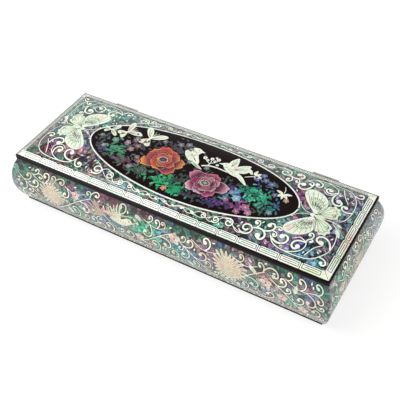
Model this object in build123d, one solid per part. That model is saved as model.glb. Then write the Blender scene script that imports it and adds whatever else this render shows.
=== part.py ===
"""A lacquered brush box with mother-of-pearl inlay and a crowned, hinged lid.

Frame: +X along the box, +Y to the hinged back, +Z up, millimetres.
Origin: centre of the underside, on the felt that the box stands on.
The lid is shown shut. It opens about the line of the two hinge pins.
"""
import math
import os

from build123d import *

# ---- Driving dimensions
lid_length = 330.0
lid_width = 114.0
lid_edge = 4.0            # height of the lid's upright black edge
lid_corner_radius = 1.5   # plan rounding of the lid's corners
crown_rise = 7.8          # height of the lid's flat top above its edge
crown_run = 33.0          # width of the curved slope round the flat top
case_height = 56.0        # from the table to the rim

rim_inset = 1.0           # rim set in from the lid's edge
foot_inset = 1.5          # foot set in from the lid's edge
wall_swell = 7.5          # how far the wall swells outside the line from rim to foot
rim_width = 8.0           # whole wall at the rim, inlay included

inlay = 0.4               # shell and its lacquer
felt = 0.8                # felt under the base
felt_margin = 3.0
base_edge = 2.0           # base's visible black edge
spigot_height = 3.0       # base's raised part, inside the walls
spigot_clearance = 0.2

lining = 1.5              # velvet over card, on the walls
floor_pad = 2.0           # velvet pad on the floor
lining_round = 0.6
rim_reveal = 0.6          # lining stops this far below the rim
lid_pad = 1.4             # velvet pad under the lid
lid_pad_gap = 1.2         # plan gap between the lid's pad and the wall lining

border_width = 8.0        # fret band round the lid
medallion_long = 111.0    # half-axes of the oval picture, ring included
medallion_wide = 41.5
ring_width = 1.1
butterfly_offset = 126.5  # from the lid's centre to a large butterfly's body
butterfly_length = 31.0   # along the box
butterfly_span = 56.0     # across the box, wing tip to wing tip

hinge_offset = 112.0      # from the lid's centre to a hinge's middle
hinge_length = 26.0
hinge_knuckle = 9.0       # length of each outer knuckle
knuckle_gap = 0.25        # side play between knuckles
barrel_radius = 2.0
pin_radius = 1.0
pin_clearance = 0.05
pin_overhang = 0.8
pin_back = 1.0            # pin axis behind the lid's edge
leaf_thickness = 1.5
leaf_reach = 10.0         # pin axis to the leaf's front edge
leaf_clearance = 0.1      # round a leaf in its recess
heel_depth = 2.6          # stop heel, above or below the pin axis
open_angle = 100.0        # where the heels meet
heel_play = 0.2           # degrees left between the heels at that angle
swing_clearance = 0.12    # between one leaf's barrel and the other's heel

screw_shank = 0.8         # radii
screw_head = 1.6
screw_length = 4.8
screw_head_depth = 0.8
screw_spread = 15.0       # between a leaf's two screws
screw_setback = 6.2       # pin axis to the screws
screw_clearance = 0.03
screw_slot = 0.4

# ---- Heights and half-sizes worked out from them
half_length, half_width = lid_length / 2, lid_width / 2
foot_z = felt + base_edge
edge_top = case_height + lid_edge
lid_top = edge_top + crown_rise
floor_z = foot_z + spigot_height
wall_line = rim_inset + rim_width          # inset of the walls' inner faces
pin_y, pin_z = half_width + pin_back, case_height
big = 4 * lid_length                       # larger than anything here


def board(half_x, half_y, low, high):
    """A plain board centred on the box, between two heights."""
    return Pos(0, 0, (low + high) / 2) * Box(2 * half_x, 2 * half_y, high - low)


def both_ways(section):
    """What two runs of one edge section leave, mitred at the corners.

    section(half_size) gives a face in the XZ plane, upright and centred.
    """
    along_y = extrude(section(half_length), half_width * 2, both=True)
    along_x = extrude(section(half_width), half_length * 2, both=True)
    return along_y & (Rot(0, 0, 90) * along_x)


def face_xz(wire):
    """The face inside a wire drawn with X across and Y up, stood up in the XZ plane."""
    return Plane.XZ * make_face(wire)


def swollen(shell):
    """The case's outer form, taken in by shell all round, from foot to rim."""
    def section(half):
        foot, rim = half - foot_inset - shell, half - rim_inset - shell
        belly = (foot + rim) / 2 + wall_swell
        middle = (foot_z + case_height) / 2
        right = ThreePointArc((foot, foot_z), (belly, middle), (rim, case_height))
        left = ThreePointArc((-rim, case_height), (-belly, middle), (-foot, foot_z))
        lower = Line((-foot, foot_z), (foot, foot_z))
        upper = Line((rim, case_height), (-rim, case_height))
        return face_xz([lower, right, upper, left])
    return both_ways(section)


crown_radius = (crown_run ** 2 + crown_rise ** 2) / (2 * crown_rise)


def crowned(drop):
    """The lid's form from its underside up, its top taken down by drop."""
    def section(half):
        flat, top = half - crown_run, lid_top - drop
        centre = top - crown_radius
        edge = centre + math.sqrt(crown_radius ** 2 - crown_run ** 2)
        turn = math.asin(crown_run / crown_radius) / 2
        bend_x = flat + crown_radius * math.sin(turn)
        bend_z = centre + crown_radius * math.cos(turn)
        right = ThreePointArc((half, edge), (bend_x, bend_z), (flat, top))
        left = ThreePointArc((-flat, top), (-bend_x, bend_z), (-half, edge))
        lower = Line((-half, case_height), (half, case_height))
        rise = Line((half, case_height), (half, edge))
        crest = Line((flat, top), (-flat, top))
        fall = Line((-half, edge), (-half, case_height))
        return face_xz([lower, rise, right, crest, left, fall])
    block = both_ways(section)
    return fillet(block.edges().filter_by(Axis.Z), lid_corner_radius)


def mitre_wedge(side):
    """The quarter that one wall takes, cut at 45 degrees through the lid's corners."""
    reach = 40.0   # further out than any wall
    tip = half_width
    long_side = [(-half_length - reach, -half_width - reach), (half_length + reach, -half_width - reach),
                 (half_length - tip, 0), (-half_length + tip, 0)]
    end = [(half_length + reach, -half_width - reach), (half_length + reach, half_width + reach),
           (half_length - tip, 0)]
    turned = {"front": (long_side, 0), "back": (long_side, 180), "right": (end, 0), "left": (end, 180)}
    points, turn = turned[side]
    wedge = extrude(make_face(Polyline(*points, close=True)), big / 2, both=True)
    return Rot(0, 0, turn) * wedge


sides = ("front", "back", "left", "right")
hinge_places = {"left": -hinge_offset, "right": hinge_offset}
lining_line = wall_line + lining


# ---- Hinges: each leaf is one plate with its knuckles and a stop heel
def x_cylinder(radius, low, high, y=0.0, z=0.0):
    """A round bar along X."""
    return Pos((low + high) / 2, y, z) * Rot(0, 90, 0) * Cylinder(radius, high - low)


def screw_places():
    """The two screws of a leaf, as X and Y from the hinge's middle on the pin axis."""
    return [(-screw_spread / 2, -screw_setback), (screw_spread / 2, -screw_setback)]


def knuckle_ranges(leaf):
    """Where along X each leaf has knuckles."""
    half = hinge_length / 2
    inner = half - hinge_knuckle
    if leaf == "case":
        return [(-half, -inner), (inner, half)]
    return [(-inner + knuckle_gap, inner - knuckle_gap)]


def leaf_solid(leaf):
    """A hinge leaf round its pin axis at the origin: the case's lies below, the lid's above."""
    sign = -1 if leaf == "case" else 1
    half = hinge_length / 2
    heel = math.radians((open_angle + heel_play) / 2)
    heel_tip = heel_depth / math.tan(heel)
    plate = Pos(0, -leaf_reach / 2, sign * leaf_thickness / 2) * Box(hinge_length, leaf_reach, leaf_thickness)
    outline = [(0, 0), (heel_tip, sign * heel_depth), (-barrel_radius, sign * heel_depth), (-barrel_radius, 0)]
    face = Plane.YZ * make_face(Polyline(*outline, close=True))
    body = plate + extrude(face, half, both=True)
    other = "lid" if leaf == "case" else "case"
    for low, high in knuckle_ranges(other):
        room = x_cylinder(barrel_radius + swing_clearance, low - knuckle_gap, high + knuckle_gap)
        body -= room
    for low, high in knuckle_ranges(leaf):
        body += x_cylinder(barrel_radius, low, high)
    bore = pin_radius if leaf == "case" else pin_radius + pin_clearance
    body -= x_cylinder(bore, -half - 1, half + 1)
    for x, y in screw_places():
        body -= Pos(x, y, sign * leaf_thickness / 2) * Cylinder(screw_shank + screw_clearance, leaf_thickness + 1)
        sink = Cone(screw_head + screw_clearance, screw_shank + screw_clearance, screw_head_depth)
        turn = Rot(0, 0, 0) if leaf == "lid" else Rot(180, 0, 0)
        body -= Pos(x, y, sign * screw_head_depth / 2) * turn * sink
    return body


def screw_solid(leaf):
    """A countersunk screw with its head at the parting plane, its point into the wood."""
    sign = -1 if leaf == "case" else 1
    shank = Pos(0, 0, (screw_head_depth + screw_length) / 2) * Cylinder(screw_shank, screw_length - screw_head_depth)
    head = Pos(0, 0, screw_head_depth / 2) * Cone(screw_head, screw_shank, screw_head_depth)
    slot = Pos(0, 0, 0) * Box(2 * screw_head + 1, screw_slot, screw_slot)
    point = fillet((shank + head).edges().sort_by(Axis.Z)[-1], screw_shank * 0.6)
    screw = point - slot
    return screw if sign > 0 else Rot(180, 0, 0) * screw


def leaf_recess(leaf):
    """What the wood gives up for one leaf, its heel and its screws."""
    sign = -1 if leaf == "case" else 1
    length = hinge_length + 2 * leaf_clearance
    reach = leaf_reach + leaf_clearance
    room = Pos(0, -reach / 2, sign * leaf_thickness / 2) * Box(length, reach, leaf_thickness)
    heel_room = barrel_radius + swing_clearance
    back = heel_room + 4 * barrel_radius
    depth = heel_depth + leaf_clearance
    heel_length = length + 2 * pin_overhang
    room += Pos(0, back / 2 - heel_room, sign * depth / 2) * Box(heel_length, back, depth)
    for x, y in screw_places():
        room += Pos(x, y, sign * screw_length / 2) * Cylinder(screw_shank + screw_clearance, screw_length)
    return room


def at_hinges(shape):
    """A copy of a shape at each hinge, from the pin axis at the origin."""
    return [Pos(x, pin_y, pin_z) * shape for x in hinge_places.values()]


def hinge_pin(x):
    """The headed pin that both leaves of a hinge turn on."""
    half = hinge_length / 2
    pin = x_cylinder(pin_radius, x - half - pin_overhang, x + half + pin_overhang, pin_y, pin_z)
    for end in (-1, 1):
        low = x + end * half + (0 if end > 0 else -pin_overhang)
        pin += x_cylinder(pin_radius * 1.45, low, low + pin_overhang, pin_y, pin_z)
    return pin


# ---- Case
def case_parts():
    """Walls, base, inlay, felt and linings, by node name."""
    outer, core = swollen(0), swollen(inlay)
    hollow = board(half_length - wall_line, half_width - wall_line, 0, case_height + 1)
    inner_long, inner_wide = half_length - wall_line, half_width - wall_line
    parts = {}
    skin = outer - core
    carcass = core - hollow
    for side in sides:
        parts[f"{side}_wall"] = carcass & mitre_wedge(side)
        parts[f"{side}_inlay"] = skin & mitre_wedge(side)
    for room in at_hinges(leaf_recess("case")):
        parts["back_wall"] -= room
        parts["back_inlay"] -= room

    flange = board(half_length - foot_inset, half_width - foot_inset, felt, foot_z)
    spigot = board(inner_long - spigot_clearance, inner_wide - spigot_clearance, foot_z, floor_z)
    parts["base_board"] = flange + spigot
    margin = foot_inset + felt_margin
    parts["base_felt"] = board(half_length - margin, half_width - margin, 0, felt)

    top = case_height - rim_reveal
    band = board(inner_long, inner_wide, floor_z, top)
    band -= board(half_length - lining_line, half_width - lining_line, 0, case_height)
    lip = band.faces().sort_by(Axis.Z)[-1].inner_wires()[0].edges()
    band = fillet(lip, lining_round)
    for side in sides:
        parts[f"{side}_lining"] = band & mitre_wedge(side)
    pad = board(half_length - lining_line, half_width - lining_line, floor_z, floor_z + floor_pad)
    parts["floor_lining"] = fillet(pad.edges().group_by(Axis.Z)[-1], lining_round)
    return parts


# ---- Lid
def oval(long_half, wide_half):
    """An upright oval prism through the lid."""
    return Pos(0, 0, case_height) * extrude(Ellipse(long_half, wide_half), crown_rise + lid_edge + 5)


def butterfly_outline():
    """One large butterfly's outer form, its head to +X, as a flat face.

    Four wings of arcs: each runs from the body to its tip and back.
    """
    half_span, half_long = butterfly_span / 2, butterfly_length / 2
    fore_tip = (half_long, half_span)
    rear_tip = (-half_long, half_span * 0.62)
    faces = []
    for flip in (1, -1):
        fore = [ThreePointArc((2, 0), (half_long * 0.75, flip * half_span * 0.52), (fore_tip[0], flip * half_span * 0.86)),
                ThreePointArc((fore_tip[0], flip * half_span * 0.86), (half_long * 0.8, flip * half_span * 0.985),
                              (half_long * 0.45, flip * half_span * 0.95)),
                ThreePointArc((half_long * 0.45, flip * half_span * 0.95), (-half_long * 0.12, flip * half_span * 0.66),
                              (-4, 0)),
                Line((-4, 0), (2, 0))]
        rear = [ThreePointArc((0, 0), (-half_long * 0.2, flip * half_span * 0.45), (-half_long * 0.45, flip * rear_tip[1])),
                ThreePointArc((-half_long * 0.45, flip * rear_tip[1]), (rear_tip[0] * 0.97, flip * half_span * 0.42),
                              (-half_long * 0.9, flip * half_span * 0.12)),
                Line((-half_long * 0.9, flip * half_span * 0.12), (0, 0))]
        faces += [make_face(fore), make_face(rear)]
    trunk = Pos(-1, 0) * Ellipse(half_long * 0.62, 1.7)
    return trunk + faces


def lid_parts():
    """Lid board, the shell laid on it and its velvet pad, by node name."""
    outer, core = crowned(0), crowned(inlay)
    for room in at_hinges(leaf_recess("lid")):
        core -= room
    skin = outer - crowned(inlay)
    field_half = (half_length - border_width, half_width - border_width)
    inside = board(*field_half, case_height, lid_top + 1)
    border, field = skin - inside, skin & inside
    parts = {"lid_board": core}
    for side in sides:
        parts[f"{side}_fret_border"] = border & mitre_wedge(side)
    picture = oval(medallion_long - ring_width, medallion_wide - ring_width)
    ring = oval(medallion_long, medallion_wide) - picture
    parts["medallion_panel"] = field & picture
    parts["medallion_ring"] = field & ring
    field -= oval(medallion_long, medallion_wide)
    for side, turn in (("left", 0), ("right", 180)):
        place = Rot(0, 0, turn) * Pos(-butterfly_offset, 0, 0)
        cutter = Pos(0, 0, case_height) * (place * extrude(butterfly_outline(), crown_rise + lid_edge + 5))
        parts[f"{side}_butterfly"] = field & cutter
        field -= cutter
    parts["field_inlay"] = field
    pad_line = lining_line + lid_pad_gap
    pad = board(half_length - pad_line, half_width - pad_line, case_height - lid_pad, case_height)
    parts["lid_lining"] = fillet(pad.edges().group_by(Axis.Z)[0], lining_round)
    return parts


def hinge_parts():
    """Leaves, pins and screws of both hinges, by node name."""
    parts = {}
    for leaf in ("case", "lid"):
        solid = leaf_solid(leaf)
        screws = []
        for name, x in hinge_places.items():
            parts[f"{name}_hinge_{leaf}_leaf"] = Pos(x, pin_y, pin_z) * solid
            screws += [Pos(x + dx, pin_y + dy, pin_z) * screw_solid(leaf) for dx, dy in screw_places()]
        parts[f"hinge_{leaf}_screws"] = Compound(children=screws)
    for name, x in hinge_places.items():
        parts[f"{name}_hinge_pin"] = hinge_pin(x)
    return parts


def main():
    """Builds every piece and writes one STEP file for each."""
    os.makedirs("parts", exist_ok=True)
    for name, shape in {**case_parts(), **lid_parts(), **hinge_parts()}.items():
        solids = shape.solids()
        export_step(Compound(children=list(solids)) if len(solids) > 1 else solids[0], f"parts/{name}.step")
        print(name, len(solids), [round(v, 1) for v in shape.bounding_box().size])


main()
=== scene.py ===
"""The looks of a lacquered brush box: shell inlay over black lacquer, brass hinges and velvet."""

import logging
import math
import random
from dataclasses import dataclass, field
from enum import Enum
from typing import Callable, ClassVar, Sequence

import bpy
import numpy as np
from mathutils import Matrix, Vector


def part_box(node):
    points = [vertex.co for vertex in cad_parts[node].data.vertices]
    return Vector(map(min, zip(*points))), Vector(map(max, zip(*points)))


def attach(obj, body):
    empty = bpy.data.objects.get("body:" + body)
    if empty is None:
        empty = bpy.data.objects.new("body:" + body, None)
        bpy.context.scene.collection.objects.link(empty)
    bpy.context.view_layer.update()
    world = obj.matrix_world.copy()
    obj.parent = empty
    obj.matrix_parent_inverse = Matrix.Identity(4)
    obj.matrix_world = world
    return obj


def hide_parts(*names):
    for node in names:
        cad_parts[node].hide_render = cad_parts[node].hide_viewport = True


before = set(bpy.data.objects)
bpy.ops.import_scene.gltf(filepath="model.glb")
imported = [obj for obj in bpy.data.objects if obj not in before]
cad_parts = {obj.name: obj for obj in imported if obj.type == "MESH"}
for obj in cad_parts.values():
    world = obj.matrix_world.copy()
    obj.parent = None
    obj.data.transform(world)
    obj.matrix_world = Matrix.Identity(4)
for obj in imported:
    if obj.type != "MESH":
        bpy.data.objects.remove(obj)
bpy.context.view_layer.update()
log = logging.getLogger("brush_box")
MM = 0.001
Colour = tuple[float, float, float, float]
Line = np.ndarray
Spot = Sequence[float]
Path = Sequence[Spot]
Tree = bpy.types.NodeTree
Socket = bpy.types.NodeSocket


def linear(code: str) -> Colour:
    """Turns an sRGB hex colour to linear light.

    Args:
        code: six hex digits after a hash.

    Returns:
        Red, green, blue and an alpha of 1.
    """
    parts = [int(code[i:i + 2], 16) / 255 for i in (1, 3, 5)]
    lit = [c / 12.92 if c <= 0.04045 else ((c + 0.055) / 1.055) ** 2.4 for c in parts]
    return (lit[0], lit[1], lit[2], 1.0)


def blend(a: Colour, b: Colour, share: float) -> Colour:
    """Gives the colour that lies share of the way from a to b."""
    return tuple(p + (q - p) * share for p, q in zip(a, b))


# ------------------------------------------------------------------ surfaces
class Side(Enum):
    """The four walls, by the turn in degrees that brings the front wall to each."""

    FRONT = 0
    RIGHT = 90
    BACK = 180
    LEFT = 270

    @property
    def along(self) -> bool:
        """Tells whether the wall runs the length of the box."""
        return self in (Side.FRONT, Side.BACK)


@dataclass(frozen=True)
class BoxSizes:
    """The box's outer form in millimetres, as the frame holds it."""

    length: float = 330.0
    width: float = 114.0
    foot_z: float = 2.8
    rim_z: float = 56.0
    edge_z: float = 60.0
    crown_rise: float = 7.8
    crown_run: float = 33.0
    rim_inset: float = 1.0
    foot_inset: float = 1.5
    swell: float = 7.5
    border: float = 8.0
    medallion_long: float = 111.0
    medallion_wide: float = 41.5
    ring: float = 1.3
    rim_strip: float = 1.7
    hinge_u: float = 112.0
    recess_half: float = 14.6
    recess_z: float = 53.2


SIZES = BoxSizes()


@dataclass(frozen=True)
class Crown:
    """The lid's top: flat in the middle, falling in one arc to each edge."""

    sizes: BoxSizes = SIZES

    def place(self, u: Line, v: Line, lift: Line) -> np.ndarray:
        """Lays plan points on the crown.

        Args:
            u: distances along the box.
            v: distances across it.
            lift: heights over the surface.

        Returns:
            One row of x, y, z for each point, in millimetres.
        """
        s = self.sizes
        edge = np.minimum(s.length / 2 - np.abs(u), s.width / 2 - np.abs(v))
        run = np.clip(s.crown_run - edge, 0, s.crown_run)
        radius = (s.crown_run ** 2 + s.crown_rise ** 2) / (2 * s.crown_rise)
        height = s.edge_z + s.crown_rise - radius + np.sqrt(radius ** 2 - run ** 2)
        return np.stack([u, v, height + lift], axis=1)


@dataclass(frozen=True)
class Wall:
    """One swelling wall: u runs along it at its widest, v is the arc length up from its foot."""

    side: Side
    sizes: BoxSizes = SIZES

    @property
    def half(self) -> float:
        """Half the wall's length at its widest."""
        return self.halves()[0] + self._arc()[4]

    @property
    def tall(self) -> float:
        """The arc length from foot to rim."""
        low, high, radius, _, _ = self._arc()
        return radius * (high - low)

    def halves(self) -> tuple[float, float]:
        """Half the lid's side that this wall lies under, and half its other side."""
        halves = self.sizes.length / 2, self.sizes.width / 2
        return halves if self.side.along else halves[::-1]

    def _arc(self) -> tuple[float, float, float, float, float]:
        """Gives the section's arc: first and last angle, radius, centre's offset and belly offset."""
        s = self.sizes
        foot, rim = -s.foot_inset, -s.rim_inset
        belly, middle = (foot + rim) / 2 + s.swell, (s.foot_z + s.rim_z) / 2
        half = (s.rim_z - s.foot_z) / 2
        radius = (half ** 2 + s.swell ** 2) / (2 * s.swell)
        centre = belly - radius
        low = math.atan2(s.foot_z - middle, foot - centre)
        high = math.atan2(s.rim_z - middle, rim - centre)
        return low, high, radius, centre, belly

    def place(self, u: Line, v: Line, lift: Line) -> np.ndarray:
        """Lays points on the wall.

        Args:
            u: distances along the wall at its widest.
            v: arc lengths up from its foot.
            lift: heights over the surface.

        Returns:
            One row of x, y, z for each point, in millimetres.
        """
        s = self.sizes
        (run, depth), (low, _, radius, centre, belly) = self.halves(), self._arc()
        angle = low + v / radius
        reach = radius + lift
        z = (s.foot_z + s.rim_z) / 2 + reach * np.sin(angle)
        along = u * (run + centre + radius * np.cos(angle)) / (run + belly)
        across = depth + centre + reach * np.cos(angle)
        turn = math.radians(self.side.value)
        x = along * math.cos(turn) + across * math.sin(turn)
        y = along * math.sin(turn) - across * math.cos(turn)
        return np.stack([x, y, z], axis=1)


Surface = Crown | Wall


# ------------------------------------------------------------------ drawing
def smooth(points: Path, steps: int = 8) -> Line:
    """Runs a smooth line through points.

    Args:
        points: the points it passes through.
        steps: how many short lengths lie between two of them.

    Returns:
        The line, one row for each point.
    """
    p = np.array(points, float)
    p = np.vstack([2 * p[0] - p[1], p, 2 * p[-1] - p[-2]])
    t = np.linspace(0, 1, steps, endpoint=False)[:, None]
    out = []
    for i in range(1, len(p) - 2):
        a, b, c, d = p[i - 1:i + 3]
        out.append(0.5 * (2 * b + (c - a) * t + (2 * a - 5 * b + 4 * c - d) * t ** 2
                          + (3 * b - a - 3 * c + d) * t ** 3))
    return np.vstack(out + [p[-2:-1]])


def curl(start: Spot, heading: float, size: float, turn: int, sweep: float = 5.4) -> Line:
    """Draws one tendril that winds inwards.

    Args:
        start: where it leaves its stem.
        heading: its first direction in radians.
        size: about its width across.
        turn: 1 winds it left and -1 right.
        sweep: how far it turns in all, in radians.

    Returns:
        The tendril's line.
    """
    n = 22
    t = (np.arange(n) + 0.5) / n
    angle = heading + turn * sweep * t ** 1.5
    step = size * 3.1 / n * (1 - 0.62 * t)
    path = np.stack([np.cos(angle) * step, np.sin(angle) * step], axis=1)
    return np.vstack([[start], np.array(start) + np.cumsum(path, axis=0)])


def turned(points: np.ndarray, angle: float, place: Spot, scale: float = 1.0,
           flip: float = 1) -> np.ndarray:
    """Flips or flattens, scales, turns and moves a plan drawing."""
    p = np.array(points, float) * [scale, scale * flip]
    c, s = math.cos(angle), math.sin(angle)
    return p @ np.array([[c, s], [-s, c]]) + np.array(place)


def centre_scaled(points: np.ndarray, centre: Spot, scale: float) -> np.ndarray:
    """Scales points about a centre."""
    return np.array(centre) + (np.array(points) - np.array(centre)) * scale


def oval(long_half: float, wide_half: float, count: int = 24) -> np.ndarray:
    """Draws an oval outline round the origin."""
    a = np.linspace(0, 2 * math.pi, count, endpoint=False)
    return np.stack([long_half * np.cos(a), wide_half * np.sin(a)], axis=1)


class Level(Enum):
    """Each layer's top over the CAD surface and its sheet's thickness, in millimetres, lowest first."""

    GROUND = (-0.02, 0.3)
    BED = (0.02, 0.14)
    LACQUER = (0.03, 0.3)
    LINES = (0.04, 0.1)
    SCROLLS = (0.05, 0.14)
    WINGS = (0.06, 0.14)
    LEAVES = (0.09, 0.14)
    FLOWERS = (0.14, 0.14)


class Marquetry:
    """Flat cut shapes that are laid on one surface and joined into one piece."""

    TAPER, TIP = 14, 0.35  # how fast a strip's ends narrow, and their last width as a share of the full one

    def __init__(self, surface: Surface, level: Level) -> None:
        """Starts an empty layer.

        Args:
            surface: what it lies on.
            level: how high over that surface it lies, and how thick it is.
        """
        self.surface = surface
        self.lift, self.thickness = level.value
        self.points: list[np.ndarray] = []
        self.lifts: list[np.ndarray] = []
        self.tints: list[np.ndarray] = []
        self.faces: list[tuple[int, ...]] = []
        self.count = 0

    def add(self, points: np.ndarray, tints: np.ndarray, faces: list[tuple[int, ...]], lift: float) -> None:
        """Keeps one shape's points, colours and faces."""
        self.faces += [tuple(i + self.count for i in f) for f in faces]
        self.points.append(points)
        self.lifts.append(np.full(len(points), lift))
        self.tints.append(tints)
        self.count += len(points)

    def strip(self, line: Line, width: float, tint: Colour, end: float = 1.0, lift: float = 0.0,
              last: Colour | None = None, blunt: bool = False) -> None:
        """Cuts a band along a line.

        Args:
            line: its middle.
            width: its full width at the start.
            tint: its colour.
            end: its last width as a share of the first.
            lift: extra height.
            last: its colour at the end, where that differs.
            blunt: leaves its ends square.
        """
        line = np.array(line, float)
        run = np.gradient(line, axis=0)
        run /= np.maximum(np.linalg.norm(run, axis=1, keepdims=True), 1e-9)
        side = np.stack([-run[:, 1], run[:, 0]], axis=1)
        t = np.linspace(0, 1, len(line))
        half = width / 2 * (1 + (end - 1) * t)
        if not blunt:
            half = half * np.clip(np.minimum(t, 1 - t) * self.TAPER + self.TIP, 0, 1)
        points = np.empty((2 * len(line), 2))
        points[0::2] = line - side * half[:, None]
        points[1::2] = line + side * half[:, None]
        shades = np.array([blend(tint, last or tint, k) for k in t])
        faces = [(2 * i, 2 * i + 2, 2 * i + 3, 2 * i + 1) for i in range(len(line) - 1)]
        self.add(points, np.repeat(shades, 2, axis=0), faces, lift)

    def plate(self, outline: np.ndarray, tint: Colour, core: Colour | None = None,
              centre: Spot | None = None, rings: int = 2, lift: float = 0.0) -> None:
        """Cuts a filled shape that can be seen whole from its centre.

        Args:
            outline: its edge, running anticlockwise.
            tint: its colour at the edge.
            core: its colour at the centre, where that differs.
            centre: the point that the rings shrink to, or its middle.
            rings: how many rings of faces it has.
            lift: extra height.
        """
        outline = np.array(outline, float)
        n = len(outline)
        middle = np.array(outline.mean(0) if centre is None else centre, float)
        area = np.sum(outline[:, 0] * np.roll(outline[:, 1], -1) - np.roll(outline[:, 0], -1) * outline[:, 1])
        if area < 0:
            outline = outline[::-1]
        points, shades = [], []
        for k in range(rings, 0, -1):
            share = k / rings
            points.append(middle + (outline - middle) * share)
            shades.append(np.tile(blend(core or tint, tint, share), (n, 1)))
        points.append(middle[None])
        shades.append(np.array([core or tint]))
        faces = []
        for k in range(rings - 1):
            a, b = k * n, (k + 1) * n
            faces += [(a + i, a + (i + 1) % n, b + (i + 1) % n, b + i) for i in range(n)]
        a, tip = (rings - 1) * n, rings * n
        faces += [(a + i, a + (i + 1) % n, tip) for i in range(n)]
        self.add(np.vstack(points), np.vstack(shades), faces, lift)

    def dot(self, place: Spot, radius: float, tint: Colour, lift: float = 0.0) -> None:
        """Cuts a small disc."""
        self.plate(oval(radius, radius, 10) + np.array(place), tint, rings=1, lift=lift)

    def lay(self, name: str, finish: "Finish", slot: str, body: str) -> bpy.types.Object:
        """Joins the shapes into one piece on the surface.

        Args:
            name: the piece's name.
            finish: what it is made of.
            slot: the record's material slot; not used.
            body: the CAD body that it rides on.

        Returns:
            The piece.
        """
        plan = np.vstack(self.points)
        lifts = np.concatenate(self.lifts) + self.lift
        spots = self.surface.place(plan[:, 0], plan[:, 1], lifts) * MM
        mesh = bpy.data.meshes.new(name)
        mesh.from_pydata(spots.tolist(), [], self.faces)
        tint = mesh.attributes.new("tint", "FLOAT_COLOR", "POINT")
        tint.data.foreach_set("color", np.vstack(self.tints).astype(np.float32).ravel())
        mesh.update()
        piece = bpy.data.objects.new(name, mesh)
        bpy.context.scene.collection.objects.link(piece)
        pick(piece)
        solid = piece.modifiers.new("thickness", "SOLIDIFY")
        solid.thickness, solid.offset = self.thickness * MM, -1
        bpy.ops.object.modifier_apply(modifier=solid.name)
        bpy.ops.object.shade_smooth_by_angle(angle=math.radians(35))
        return dress(piece, finish, body)


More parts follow.
